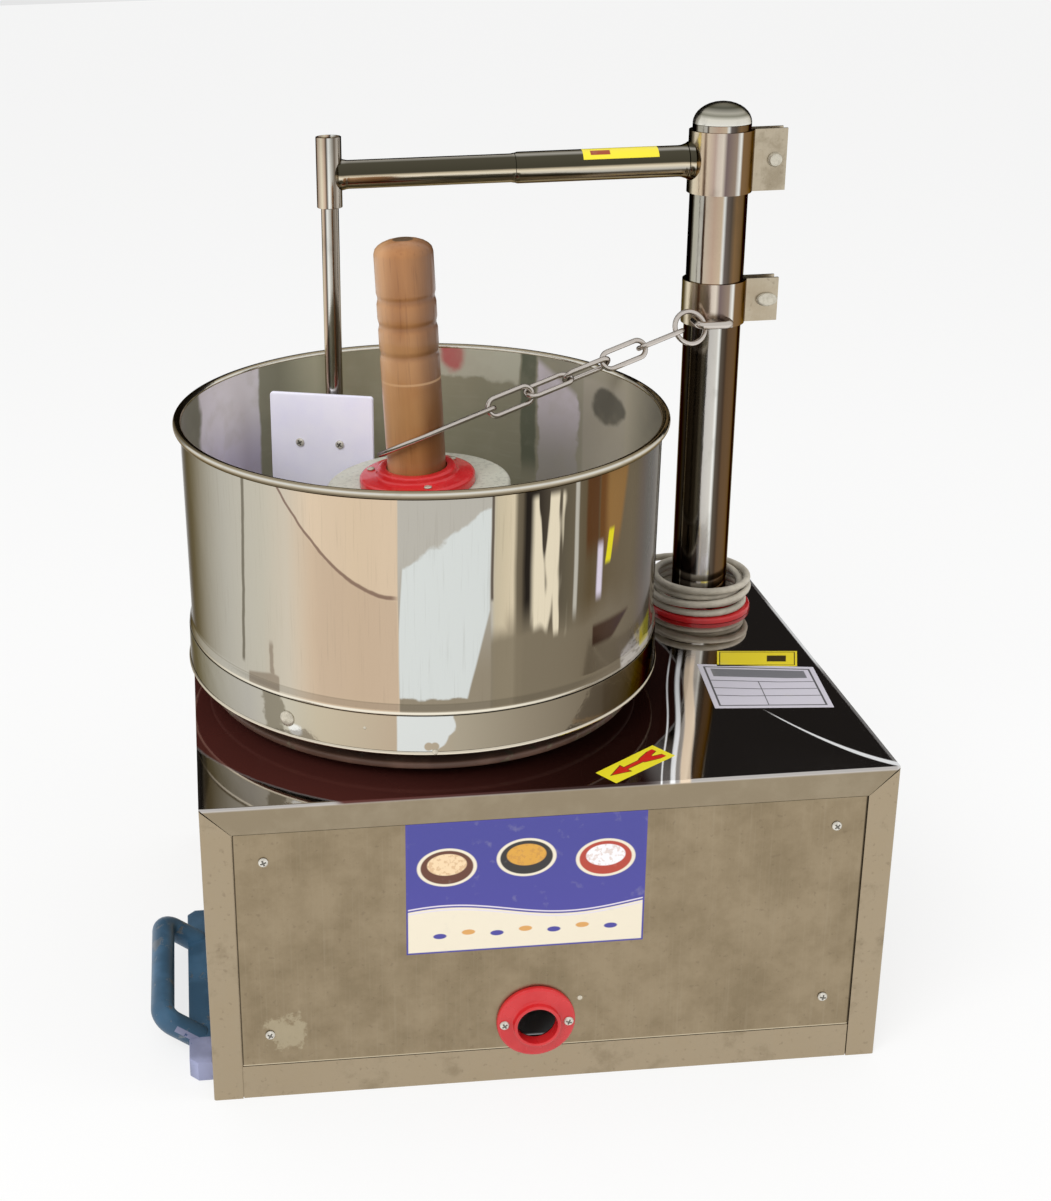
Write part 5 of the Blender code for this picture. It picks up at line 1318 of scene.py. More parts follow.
class Bench:
    """Where a mesh becomes a finished piece of the machine."""

    @staticmethod
    def lathe(profile: Sequence[tuple], steps: int = 96, closed: bool = False) -> Shape:
        """Turn a profile round +Z.

        Args:
            profile: Radius and height of each corner, and its rounding where it has one.
            steps: Steps of the full turn.
            closed: Joins the profile's ends, for a ring.

        Returns:
            The turned shape.
        """
        shape = bmesh.new()
        verts = [shape.verts.new((corner[0], 0.0, corner[1])) for corner in profile]
        for pair in zip(verts, verts[1:] + (verts[:1] if closed else [])):
            shape.edges.new(pair)
        soft = {}
        for vert, corner in zip(verts, profile):
            if len(corner) > 2:
                soft.setdefault(corner[2], []).append(vert)
        for rounding, corners in soft.items():
            Bench.rounded(shape, corners, rounding, 4, "VERTICES")
        bmesh.ops.spin(shape, geom=shape.verts[:] + shape.edges[:], cent=(0, 0, 0),
                       axis=(0, 0, 1), angle=2 * pi, steps=steps, use_merge=True)
        return shape

    @staticmethod
    def rounded(shape: Shape, geom: Sequence, offset: float, segments: int,
                affect: str = "EDGES") -> None:
        """Round edges or corners of a shape.

        Args:
            shape: The shape.
            geom: What is rounded.
            offset: How far the rounding reaches.
            segments: Its steps.
            affect: EDGES or VERTICES.
        """
        bmesh.ops.bevel(shape, geom=geom, offset=offset, offset_type="OFFSET",
                        segments=segments, profile=0.5, affect=affect, material=-1)

    @staticmethod
    def pushed(shape: Shape, made: dict, offset: Point) -> list[bmesh.types.BMVert]:
        """Move the corners that an extrusion made.

        Args:
            shape: The shape.
            made: What the extrusion returned.
            offset: How far they move.

        Returns:
            The corners.
        """
        corners = [v for v in made["geom"] if isinstance(v, bmesh.types.BMVert)]
        bmesh.ops.translate(shape, vec=offset, verts=corners)
        return corners

    @staticmethod
    def thickened(shape: Shape, face: bmesh.types.BMFace, outward: Point,
                  thickness: float) -> None:
        """Give a sheet its thickness.

        Args:
            shape: The sheet.
            face: A face whose outer side is known.
            outward: Where that side faces.
            thickness: The thickness, inwards where positive.
        """
        bmesh.ops.recalc_face_normals(shape, faces=shape.faces)
        if face.normal.dot(outward) < 0:
            bmesh.ops.reverse_faces(shape, faces=shape.faces)
        bmesh.ops.solidify(shape, geom=shape.faces[:], thickness=thickness)

    @staticmethod
    def block(low: Point, high: Point, edge: float = 0.0, segments: int = 3) -> Shape:
        """Make a block with rounded edges.

        Args:
            low: Lowest corner.
            high: Highest corner.
            edge: Rounding of all its edges.
            segments: Steps of the rounding.

        Returns:
            The block.
        """
        shape = bmesh.new()
        bmesh.ops.create_cube(shape, size=1.0)
        size = Vector(high) - Vector(low)
        bmesh.ops.scale(shape, vec=size, verts=shape.verts)
        bmesh.ops.translate(shape, vec=(Vector(high) + Vector(low)) / 2, verts=shape.verts)
        if edge:
            Bench.rounded(shape, shape.edges[:], edge, segments)
        return shape

    @staticmethod
    def plate(outline: Sequence[Spot], thickness: float, corner: float = 0.0,
              edge: float = 0.0) -> Shape:
        """Cut a plate in the XY plane, its top face at z = 0.

        Args:
            outline: Corners in order.
            thickness: How far it reaches below z = 0.
            corner: Rounding of the outline's corners.
            edge: Rounding of the top and bottom edges.

        Returns:
            The plate.
        """
        shape = bmesh.new()
        shape.faces.new([shape.verts.new((x, y, 0.0)) for x, y in outline])
        if corner:
            Bench.rounded(shape, shape.verts[:], corner, 5, "VERTICES")
        Bench.pushed(shape, bmesh.ops.extrude_face_region(shape, geom=shape.faces[:]),
                     (0.0, 0.0, -thickness))
        bmesh.ops.recalc_face_normals(shape, faces=shape.faces)
        if edge:
            flat = [e for e in shape.edges
                    if len(e.link_faces) == 2 and abs(e.verts[0].co.z - e.verts[1].co.z) < 1e-7]
            Bench.rounded(shape, flat, edge, 2)
        return shape

    @staticmethod
    def tube(points: Sequence[Vector], radius: float, cyclic: bool = False,
             sides: int = 16) -> Shape:
        """Bend a round bar along a path.

        Args:
            points: The path.
            radius: The bar's radius.
            cyclic: Joins its ends.
            sides: Faces round the bar.

        Returns:
            The bar.
        """
        curve = Bench.curve("bar_path", points, radius, cyclic, sides)
        shape = bmesh.new()
        evaluated = curve.evaluated_get(bpy.context.evaluated_depsgraph_get())
        mesh = bpy.data.meshes.new_from_object(evaluated)
        shape.from_mesh(mesh)
        bpy.data.meshes.remove(mesh)
        data = curve.data
        bpy.data.objects.remove(curve)
        bpy.data.curves.remove(data)
        return shape

    @staticmethod
    def curve(name: str, points: Sequence[Vector], radius: float, cyclic: bool = False,
              sides: int = 16) -> Item:
        """Lay a round curve along a path.

        Args:
            name: The object's name.
            points: The path.
            radius: The curve's radius.
            cyclic: Joins its ends.
            sides: Faces round the curve.

        Returns:
            The curve object.
        """
        data = bpy.data.curves.new(name, "CURVE")
        data.dimensions = "3D"
        data.bevel_depth = radius
        data.bevel_resolution = (sides - 4) // 2
        data.use_fill_caps = not cyclic
        line = data.splines.new("POLY")
        line.points.add(len(points) - 1)
        for knot, point in zip(line.points, points):
            knot.co = (*point, 1.0)
        line.use_cyclic_u = cyclic
        line.use_smooth = True
        item = linked(name, data)
        bpy.context.view_layer.update()
        return item

    @staticmethod
    def join(shapes: Sequence[Shape]) -> Shape:
        """Put several shapes in one.

        Args:
            shapes: The shapes, which are used up.

        Returns:
            One shape that holds them all.
        """
        whole = bmesh.new()
        for shape in shapes:
            mesh = bpy.data.meshes.new("part")
            shape.to_mesh(mesh)
            shape.free()
            whole.from_mesh(mesh)
            bpy.data.meshes.remove(mesh)
        return whole

    @staticmethod
    def moved(shape: Shape, place: Matrix) -> Shape:
        """Move a shape.

        Args:
            shape: The shape.
            place: Where it goes.

        Returns:
            The same shape.
        """
        bmesh.ops.transform(shape, matrix=place, verts=shape.verts)
        return shape

    @staticmethod
    def placed(name: str, shape: Shape, materials: Sequence[bpy.types.Material]) -> Item:
        """Put a shape in the scene.

        Args:
            name: The object's name.
            shape: The shape, which is used up.
            materials: Its materials in the order of their index.

        Returns:
            The object.
        """
        mesh = bpy.data.meshes.new(name)
        shape.to_mesh(mesh)
        shape.free()
        for material in materials:
            mesh.materials.append(material)
        return linked(name, mesh)

    @staticmethod
    def piece(name: str, shape: Shape, finish: Finish, body: str, node: str = "",
              place: Matrix = MIDDLE, more: Sequence[Finish] = ()) -> Item:
        """Finish a shape as a piece of the machine.

        Args:
            name: The piece's name.
            shape: Its shape in its own frame, which is used up.
            finish: Its finish.
            body: The body that it rides on.
            node: The CAD node that it replaces.
            place: The frame's place in the machine.
            more: Finishes of the faces with material index 1, 2 and so on.

        Returns:
            The piece.
        """
        bmesh.ops.remove_doubles(shape, verts=shape.verts, dist=MERGE)
        bmesh.ops.recalc_face_normals(shape, faces=shape.faces)
        made_at = shape.verts.layers.float_vector.new("made_at")
        for vert in shape.verts:
            vert[made_at] = vert.co
        Bench.moved(shape, place)
        for face in shape.faces:
            face.smooth = True
        for edge in shape.edges:
            edge.smooth = edge.calc_face_angle(0.0) < SHARP
        item = Bench.placed(name, shape, [each.material() for each in (finish, *more)])
        Bench.settle(item, finish.slot, body, *filter(None, (node,)))
        return item

    @staticmethod
    def settle(item: Item, slot: str, body: str, *nodes: str) -> None:
        """Tie a piece to its body and hide the CAD nodes that it replaces.

        Args:
            item: The piece.
            slot: The record's material slot; not used.
            body: The body that it rides on.
            nodes: The CAD nodes that it replaces.
        """
        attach(item, body)
        if nodes:
            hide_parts(*nodes)
        LOG.info("%s rides on %s", item.name, body)


def frame_at(x: float, y: float, z: float = 0.0, yaw: float = 0.0, tilt: float = 0.0) -> Matrix:
    """Frame of a sub-assembly.

    Args:
        x: Place from the cabinet's middle.
        y: Place from the cabinet's middle.
        z: Height above the floor.
        yaw: Turn about +Z in degrees.
        tilt: Turn about +Y in degrees.

    Returns:
        The frame in the machine.
    """
    return (MIDDLE @ Matrix.Translation((x, y, z)) @ Matrix.Rotation(radians(yaw), 4, "Z")
            @ Matrix.Rotation(radians(tilt), 4, "Y"))


def rounded_path(corners: Sequence[Point], radius: float) -> list[Vector]:
    """Round the inner corners of a path.

    Args:
        corners: The path's corners.
        radius: Radius of the bends.

    Returns:
        The points of the rounded path.
    """
    points = [Vector(corners[0])]
    for before, corner, after in zip(corners, corners[1:], corners[2:]):
        corner = Vector(corner)
        u = (Vector(before) - corner).normalized()
        v = (Vector(after) - corner).normalized()
        half = u.angle(v) / 2
        centre = corner + (u + v).normalized() * radius / sin(half)
        first = corner + u * radius * cos(half) / sin(half) - centre
        last = corner + v * radius * cos(half) / sin(half) - centre
        points += [centre + first.slerp(last, i / BEND_STEPS).normalized() * radius
                   for i in range(BEND_STEPS + 1)]
    return points + [Vector(corners[-1])]


def smooth_path(points: Sequence[Vector], per_span: int) -> list[Vector]:
    """Read a Catmull-Rom curve through points.

    Args:
        points: The points that it passes.
        per_span: Steps between two of them.

    Returns:
        The curve's points.
    """
    points = [Vector(p) for p in points]
    padded = [2 * points[0] - points[1]] + points + [2 * points[-1] - points[-2]]
    result = []
    for a, b, c, d in zip(padded, padded[1:], padded[2:], padded[3:]):
        for i in range(per_span):
            t = i / per_span
            result.append(0.5 * (2 * b + (c - a) * t + (2 * a - 5 * b + 4 * c - d) * t ** 2
                                 + (3 * b - a - 3 * c + d) * t ** 3))
    return result + [points[-1]]


def arc(centre: Spot, radius: float, start: float, end: float, steps: int) -> list[Spot]:
    """Points on an arc.

    Args:
        centre: Its centre.
        radius: Its radius.
        start: First angle in radians.
        end: Last angle in radians.
        steps: Number of steps.

    Returns:
        The points, both ends included.
    """
    return [(centre[0] + radius * cos(start + (end - start) * i / steps),
             centre[1] + radius * sin(start + (end - start) * i / steps))
            for i in range(steps + 1)]


@dataclass
class PhotoCamera:
    """The camera of the photograph, with its off-centre crop."""

    place: Point = (-0.2597, -1.37675, 0.9594)
    yaw: float = 3.56
    pitch: float = 19.54
    roll: float = 1.72
    focal: float = 1729.0
    middle: Spot = (305.1, 473.0)
    image: Spot = (1051.0, 1201.0)
    sensor: float = 36.0

    def build(self) -> None:
        """Set up the scene's camera."""
        yaw, pitch, roll = radians(self.yaw), radians(self.pitch), radians(self.roll)
        view = Vector((sin(yaw) * cos(pitch), cos(yaw) * cos(pitch), -sin(pitch)))
        level = Vector((cos(yaw), -sin(yaw), 0.0))
        down = view.cross(level)
        right = level * cos(roll) + down * sin(roll)
        down = down * cos(roll) - level * sin(roll)
        data = bpy.data.cameras.new("photo_camera")
        data.sensor_fit = "HORIZONTAL"
        data.sensor_width = self.sensor
        data.lens = self.focal / self.image[0] * self.sensor
        data.shift_x = (self.image[0] / 2 - self.middle[0]) / self.image[0]
        data.shift_y = (self.middle[1] - self.image[1] / 2) / self.image[0]
        data.clip_start = 0.01
        data.clip_end = 100.0
        camera = linked("photo_camera", data)
        camera.matrix_world = Matrix.Translation(self.place) @ Matrix(
            (right, -down, -view)).transposed().to_4x4()
        bpy.context.scene.camera = camera


@dataclass
class MainsLead:
    """The mains lead: gland on the deck, coil round the column, end and plug behind the drum."""

    radius: float = 0.00325
    layers: int = 4
    turns_per_layer: float = 1.25
    outer: float = 0.0470
    pitch: float = 0.0074
    steps: int = 40
    climb_turns: float = 0.5
    lead: float = 0.030
    end_shares: Spot = (1.5, 4.0)
    flange: float = 0.005
    route: tuple[Point, ...] = ((0.1705, 0.1682, 0.0283), (0.1518, 0.1735, 0.0217),
                                (0.1330, 0.1788, 0.0150))
    plug_x: float = 0.108
    plug_y: float = 0.181
    plug_size: Point = (0.044, 0.034, 0.024)
    pins: tuple[Spot, ...] = ((-1, -0.4), (1, -0.4), (0, 0.6))
    points: list[Vector] = field(default_factory=list)

    def coil(self) -> list[Vector]:
        """Wind the coil.

        Returns:
            The coil's points from its straight lead to the top layer's end, round the column.
        """
        low = DECK + 2 * GAP + self.flange + self.radius
        turns = self.layers * self.turns_per_layer
        first = pi / 2 - 2 * pi * turns
        points = []
        for i in range(round(turns * self.steps) + 1):
            turn = i / self.steps
            layer = min(floor(turn / self.turns_per_layer), self.layers - 1)
            within = turn - layer * self.turns_per_layer
            inward = within if layer % 2 == 0 else self.turns_per_layer - within
            reach = self.outer - self.pitch * inward
            climb = 0.0
            for reversal in range(1, self.layers):
                share = (turn - reversal * self.turns_per_layer) / self.climb_turns + 0.5
                share = min(max(share, 0.0), 1.0)
                climb += share * share * (3 - 2 * share)
            angle = first + 2 * pi * turn
            points.append(Vector((reach * cos(angle), reach * sin(angle),
                                  low + self.pitch * climb)))
        heading = Vector((sin(first), -cos(first), 0.0))
        lead = [points[0] + heading * self.lead * share for share in (1.0, 0.7, 0.35)]
        tail = [points[-1] + Vector((-self.radius * share, 0.0, 0.0)) for share in self.end_shares]
        return lead + points + tail

    def build(self) -> None:
        """Make the lead with its boot, gland and plug."""
        column = Vector((*COLUMN_AXIS, 0.0))
        coil = [column + point for point in self.coil()]
        back = Vector((-1.0, 0.0, 0.0))
        start = coil[-1] + back * GAP
        face = Vector((self.plug_x + GAP, self.plug_y, DECK + GAP + self.plug_size[2] / 2))
        middle = [Vector((x, y, DECK + z)) for x, y, z in self.route]
        straight = 2 * self.radius
        tail = smooth_path([start + back * straight] + middle + [face - back * straight], 8)
        self.points = [MIDDLE @ p for p in coil + tail + [face]]
        lead = Bench.curve("mains_lead", self.points, self.radius, sides=14)
        lead.data.materials.append(CORD.material())
        Bench.settle(lead, CORD.slot, "cabinet", "cord_coil", "cord_tail")
        length = sum((b - a).length for a, b in zip(self.points, self.points[1:]))
        plug = self.plug()
        2 * self.radius
        self.boot()

    def boot(self) -> None:
        """Make the gland block and the tapered, ribbed boot that the lead leaves it by."""
        start, ahead = self.points[0], (self.points[2] - self.points[0]).normalized()
        turn = ahead.to_track_quat("Z", "Y").to_matrix().to_4x4()
        place = Matrix.Translation(start) @ turn
        profile = [(self.radius + 0.0001, 0.0), (0.0055, 0.0, 0.0006)]
        for rib in range(4):
            z = 0.0045 + 0.0048 * rib
            reach = 0.0053 - 0.00038 * rib
            profile += [(reach, z, 0.0004), (reach - 0.0010, z + 0.0008, 0.0003),
                        (reach - 0.0010, z + 0.0024, 0.0003), (reach - 0.0003, z + 0.0032, 0.0004)]
        profile += [(self.radius + 0.0004, 0.0245), (self.radius + 0.0001, 0.0245)]
        Bench.piece("lead_boot", Bench.lathe(profile, 32, True), BLACK_RUBBER, "cabinet",
                    place=place)
        half, width = 0.008, 0.0075
        centre = start - ahead * (GAP + half)
        gland = Bench.block((-half, -width, DECK + GAP), (half, width, start.z + 0.00525),
                            0.002, 4)
        yaw = atan2(ahead.y, ahead.x)
        Bench.piece("lead_gland", gland, BLACK_RUBBER, "cabinet", "cord_gland",
                    Matrix.Translation((centre.x, centre.y, 0.0)) @ Matrix.Rotation(yaw, 4, "Z"))

    def plug(self) -> list[Item]:
        """Make the plug.

        Returns:
            Its body and its pins.
        """
        length, width, height = self.plug_size
        low = DECK + GAP
        body = Bench.block((self.plug_x - length, self.plug_y - width / 2, low),
                           (self.plug_x, self.plug_y + width / 2, low + height), 0.005, 4)
        middle = Vector((self.plug_x, self.plug_y, low + height / 2))
        for vert in body.verts:
            share = min(max((vert.co.x - self.plug_x + 0.020) / 0.020, 0.0), 1.0)
            vert.co.y = middle.y + (vert.co.y - middle.y) * (1.0 - 0.45 * share)
            vert.co.z = middle.z + (vert.co.z - middle.z) * (1.0 - 0.22 * share)
        item = Bench.piece("plug_body", body, BLACK_RUBBER, "cabinet", "mains_plug")
        pins = []
        face = self.plug_x - length
        for across, lift in self.pins:
            pin = Bench.lathe([(0.0, 0.0), (0.0025, 0.0, 0.0008), (0.0025, 0.022),
                               (0.0, 0.022)], 20)
            spot = (face - 0.0188, self.plug_y + across * 0.0085, middle.z + lift * 0.0085)
            pins.append(Bench.moved(pin, Matrix.Translation(spot)
                                    @ Matrix.Rotation(pi / 2, 4, "Y")))
        return [item, Bench.piece("plug_pins", Bench.join(pins), BOLT, "cabinet")]


@dataclass
class Cabinet:
    """Folded sheet cabinet with its deck, front panel, port, screws and handles."""

    half_width: float = 0.277
    half_depth: float = 0.2105
    sheet: float = 0.0012
    border: float = 0.024
    fold: float = 0.0018
    rail: float = 0.031
    port_x: float = -0.011
    port_z: float = 0.0575
    port_bore: float = 0.0168
    panel_half: float = 0.2523
    handle_middle: float = -0.073
    bar_half: float = 0.112
    bar_height: float = 0.018
    grip_half: float = 0.0695
    grip_reach: float = 0.041
    grip_radius: float = 0.0102

    def build(self) -> None:
        """Make every piece of the cabinet."""
        self.wrap()
        self.deck()
        self.panel()
        self.port()
        for name, side in (("left", -1), ("right", 1)):
            self.handle(name, side)

    def wrap(self) -> None:
        """Fold the sides, the back and the front's borders from one sheet."""
        w, d = self.half_width, self.half_depth
        top = DECK - self.sheet - GAP
        shape = bmesh.new()
        plan = [(self.border - w, -d), (-w, -d), (-w, d), (w, d), (w, -d), (w - self.border, -d)]
        verts = [shape.verts.new((x, y, 0.0)) for x, y in plan]
        edges = [shape.edges.new(pair) for pair in zip(verts, verts[1:])]
        raised = Bench.pushed(shape, bmesh.ops.extrude_edge_only(shape, edges=edges),
                              (0.0, 0.0, top))
        for side in (-1, 1):
            inner = [v for v in raised if abs(v.co.x - side * (w - self.border)) < 1e-6]
            bmesh.ops.translate(shape, vec=(0.0, 0.0, self.sheet - self.border), verts=inner)
        Bench.rounded(shape, [e for e in shape.edges if len(e.link_faces) == 2], self.fold, 4)
        back = max(shape.faces, key=lambda f: f.calc_center_median().y)
        Bench.thickened(shape, back, (0.0, 1.0, 0.0), self.sheet)
        Bench.piece("cabinet_side_sheet", shape, SHEET, "cabinet", "cabinet_wrap")

    def deck(self) -> None:
        """Fold the deck over the front edge, its lip mitred at both ends."""
        w, d = self.half_width, self.half_depth
        shape = bmesh.new()
        corners = [shape.verts.new(p) for p in (
            (-w, -d, DECK), (w, -d, DECK), (w, d, DECK), (-w, d, DECK))]
        shape.faces.new(corners)
        front = [e for e in shape.edges if max(v.co.y for v in e.verts) < 0]
        lip = Bench.pushed(shape, bmesh.ops.extrude_edge_only(shape, edges=front),
                           (0.0, 0.0, -self.border))
        bmesh.ops.scale(shape, vec=((w - self.border) / w, 1.0, 1.0), verts=lip)
        Bench.rounded(shape, [e for e in shape.edges if len(e.link_faces) == 2], self.fold, 5)
        Bench.thickened(shape, max(shape.faces, key=lambda f: f.calc_area()), (0.0, 0.0, 1.0),
                        self.sheet)
        Bench.piece("deck_sheet", shape, DECK_TOP, "cabinet", "cabinet_deck")

    def panel(self) -> None:
        """Cut the front panel with its bore, and set its four screws."""
        x, low, high = self.panel_half, self.rail + 0.0007, DECK - self.border - 0.0007
        shape = bmesh.new()
        bmesh.ops.create_grid(shape, x_segments=1, y_segments=1, size=1.0)
        bmesh.ops.scale(shape, vec=(x, (high - low) / 2, 1.0), verts=shape.verts)
        bmesh.ops.translate(shape, vec=(0.0, (high + low) / 2, 0.0), verts=shape.verts)
        Bench.rounded(shape, shape.verts[:], 0.0015, 3, "VERTICES")
        bmesh.ops.delete(shape, geom=shape.faces[:], context="FACES_ONLY")
        bmesh.ops.create_circle(shape, segments=64, radius=self.port_bore,
                                matrix=Matrix.Translation((self.port_x, self.port_z, 0.0)))
        bmesh.ops.triangle_fill(shape, use_beauty=True, use_dissolve=False, edges=shape.edges[:])
        Bench.pushed(shape, bmesh.ops.extrude_face_region(shape, geom=shape.faces[:]),
                     (0.0, 0.0, -self.sheet))
        stand = Matrix.Translation((0.0, PANEL_FACE, 0.0)) @ TO_FRONT
        Bench.piece("front_panel_sheet", Bench.moved(shape, stand), PANEL, "cabinet",
                    "front_panel")
        places = [(s * (x - 0.0235), z) for z in (high - 0.025, low + 0.029) for s in (-1, 1)]
        for index, (across, height) in enumerate(places, 1):
            self.screw("panel_screw_head_%d" % index, (across, PANEL_FACE - GAP, height),
                       "panel_screw_%d" % index, 20.0 * index)
        dot = Bench.lathe([(0.0, 0.0008), (0.0022, 0.0008, 0.0005), (0.0022, 0.0), (0.0, 0.0)], 24)
        Bench.piece("panel_rivet", dot, RIVET, "cabinet",
                    place=frame_at(0.0253, PANEL_FACE, 0.076) @ TO_FRONT)

    def screw(self, name: str, spot: Point, node: str, turn: float) -> None:
        """Set a domed cross screw that faces the front.

        Args:
            name: The piece's name.
            spot: Where its head rests, from the cabinet's middle.
            node: The CAD node that it replaces.
            turn: The recess's angle in degrees.
        """
        Bench.piece(name, screw_shape(), SCREW, "cabinet", node,
                    frame_at(*spot) @ TO_FRONT
                    @ Matrix.Rotation(radians(turn), 4, "Z"))

    def port(self) -> None:
        """Turn the red port with its short collar, and set its two screws."""
        back = PANEL_FACE - GAP
        profile = [(0.0195, 0.010, 0.0012), (0.0195, 0.0045, 0.0015), (0.0305, 0.0040, 0.0004),
                   (0.0325, 0.0030, 0.0012), (0.0325, 0.0), (0.0165, 0.0),
                   (0.0165, 0.010, 0.0010)]
        Bench.piece("port_ring", Bench.lathe(profile, 96, True), RED, "cabinet",
                    "port_flange",
                    frame_at(self.port_x, back, self.port_z) @ TO_FRONT)
        for index, side in enumerate((-1, 1), 1):
            self.screw("port_screw_head_%d" % index,
                       (self.port_x + side * 0.0265, back - 0.004 - GAP, self.port_z),
                       "port_screw_%d" % index, 35.0 * index)

    def handle(self, name: str, side: int) -> None:
        """Make a lifting handle: a bent tube welded to a flat bar.

        Args:
            name: Which side it is on.
            side: -1 for the left side, 1 for the right one.
        """
        near = self.half_width + GAP
        far = near + 0.019
        middle = -side * self.handle_middle
        half = self.bar_half
        outline = [(side * near, middle - half), (side * (far - 0.007), middle - half),
                   (side * far, middle - half + 0.007), (side * far, middle + half - 0.007),
                   (side * (far - 0.007), middle + half), (side * near, middle + half)]
        bar = Bench.moved(Bench.plate(outline, self.bar_height, edge=0.0012),
                          Matrix.Translation((0.0, 0.0, self.bar_height)))
        bare = half - 0.034
        bmesh.ops.bisect_plane(bar, geom=bar.verts[:] + bar.edges[:] + bar.faces[:],
                               plane_co=(0.0, middle + side * bare, 0.0),
                               plane_no=(0.0, 1.0, 0.0))
        root, tip = side * (near + far) / 2, side * (self.half_width + self.grip_reach)
        ends = (middle - self.grip_half, middle + self.grip_half)
        path = rounded_path([(root, ends[0], 0.0112), (tip, ends[0], 0.0337),
                             (tip, ends[1], 0.0337), (root, ends[1], 0.0112)], 0.012)
        grip = Bench.tube(path, self.grip_radius, sides=24)
        shape = Bench.join([bar, grip])
        # Painted light: the bar's ends outside the grip's legs take the lighter lavender paint,
        # the shaded part between the legs stays blue.
        for face in shape.faces:
            spot = face.calc_center_median()
            face.material_index = int(side * (spot.y - middle) > bare
                                      and abs(spot.x) < self.half_width + 0.0205)
        Bench.piece("lifting_handle_" + name, shape, BLUE, "cabinet", "side_handle_" + name,
                    more=(LILAC,))


def screw_shape(radius: float = 0.0040, height: float = 0.0022) -> Shape:
    """Domed screw head with a short shank.

    Args:
        radius: The head's radius.
        height: The head's height.

    Returns:
        The screw, its head on +Z.
    """
    dome = [(radius * cos(a), 0.0006 + (height - 0.0006) * sin(a))
            for a in (radians(d) for d in (72, 54, 36, 18, 0))]
    return Bench.lathe([(0.0, height)] + dome + [(radius, 0.0, 0.0002), (0.0019, 0.0),
                                                 (0.0019, -0.006), (0.0, -0.006)], 32)


@dataclass
class DrumParts:
    """The turning drum: wall, skirt, carrier disc and the stone fixed in it."""

    radius_top: float = 0.2018
    radius_low: float = 0.2000
    wall: float = 0.0012
    skirt: float = 0.2033
    place: Matrix = field(default_factory=lambda: frame_at(*DRUM_AXIS, DECK))

    def build(self) -> None:
        """Make every piece of the drum."""
        self.shell()
        self.skirt_band()
        disc = [(0.0128, 0.016), (0.188, 0.016, 0.002), (0.188, 0.010, 0.002), (0.0128, 0.010)]
        Bench.piece("carrier_disc", Bench.lathe(disc, 128, True), PRIMER, "drum",
                    "carrier_plate", self.place)
        self.stone()

    def shell(self) -> None:
        """Turn the open drum with its rolled rim and the ridge at its floor."""
        rim = self.radius_top - self.wall + DRUM_BEAD
        bead = arc((rim, DRUM_TOP - DRUM_BEAD), DRUM_BEAD, radians(180), radians(-132), 20)
        low, floor_z = self.radius_low, DRUM_FLOOR
        profile = [(0.0, floor_z + self.wall), (low - self.wall, floor_z + self.wall, 0.004)]
        profile += bead + [(low, floor_z + 0.0090, 0.002), (low + 0.0018, floor_z + 0.0045),
                           (low + 0.0022, floor_z + 0.0024), (low + 0.0018, floor_z + 0.0004),
                           (low + 0.0012, floor_z), (0.0, floor_z)]
        shape = Bench.lathe(profile, 160)
        bmesh.ops.remove_doubles(shape, verts=shape.verts, dist=MERGE)
        bmesh.ops.recalc_face_normals(shape, faces=shape.faces)
        for face in shape.faces:
            spot = face.calc_center_median()
            inward = face.normal.dot(Vector((spot.x, spot.y, 0.0)).normalized()) < -0.3
            inner_floor = face.normal.z > 0.7 and spot.z < 0.1
            face.material_index = int(inward or inner_floor)
            if spot.z > DRUM_TOP - 2 * DRUM_BEAD - 0.0003:
                face.material_index = 2
        Bench.piece("drum_wall", shape, DRUM_OUTSIDE, "drum", "drum_shell",
                    self.place, more=(DRUM_INSIDE, DRUM_RIM))

    def skirt_band(self) -> None:
        """Turn the skirt with its rolled lower edge, and set its rivets and bolt."""
        outer = self.skirt - 0.0008
        inner = outer - self.wall
        top, low, bead = DRUM_FLOOR - GAP, 0.031, 0.0017
        roll = arc((outer, low + bead), bead, radians(75), radians(-100), 10)
        profile = [(outer, top, 0.0004)] + roll + [(inner, low), (inner, top)]
        Bench.piece("drum_skirt_band", Bench.lathe(profile, 160, True), DRUM_SKIRT, "drum",
                    "drum_skirt", self.place)
        studs = []
        for angle, height, radius, rise in ((-129.0, 0.0470, 0.0068, 0.0040),
                                            (51.0, 0.0470, 0.0068, 0.0040),
                                            (-110.0, 0.052, 0.0014, 0.0008),
                                            (-94.5, 0.0338, 0.0027, 0.0022)):
            dome = [(radius * cos(radians(a)), rise * sin(radians(a)))
                    for a in (70, 50, 30, 12, 0)]
            head = [(0.0, rise)] + dome + [(radius, -0.001), (0.0, -0.001)]
            turn = (Matrix.Rotation(radians(angle), 4, "Z")
                    @ Matrix.Translation((outer, 0.0, height)) @ Matrix.Rotation(pi / 2, 4, "Y"))
            studs.append(Bench.moved(Bench.lathe(head, 28), turn))
        Bench.piece("skirt_rivets", Bench.join(studs), RIVET, "drum", place=self.place)

    def stone(self) -> None:
        """Turn the base stone with the round pit that the pestle runs in."""
        low = DRUM_FLOOR + self.wall + GAP
        top = low + 0.046
        reach = 0.080
        start = asin((PIVOT - top) / reach)
        pit = [(reach * cos(-a), PIVOT + reach * sin(-a))
               for a in (start + (pi / 2 - start) * i / 14 for i in range(14))]
        edge = [(0.150, top, 0.010), (0.150, low), (0.0, low)]
        profile = [(0.0, PIVOT - reach)] + pit[::-1] + edge
        Bench.piece("base_stone", Bench.lathe(profile, 128), GRANITE, "drum", "drum_stone",
                    self.place)


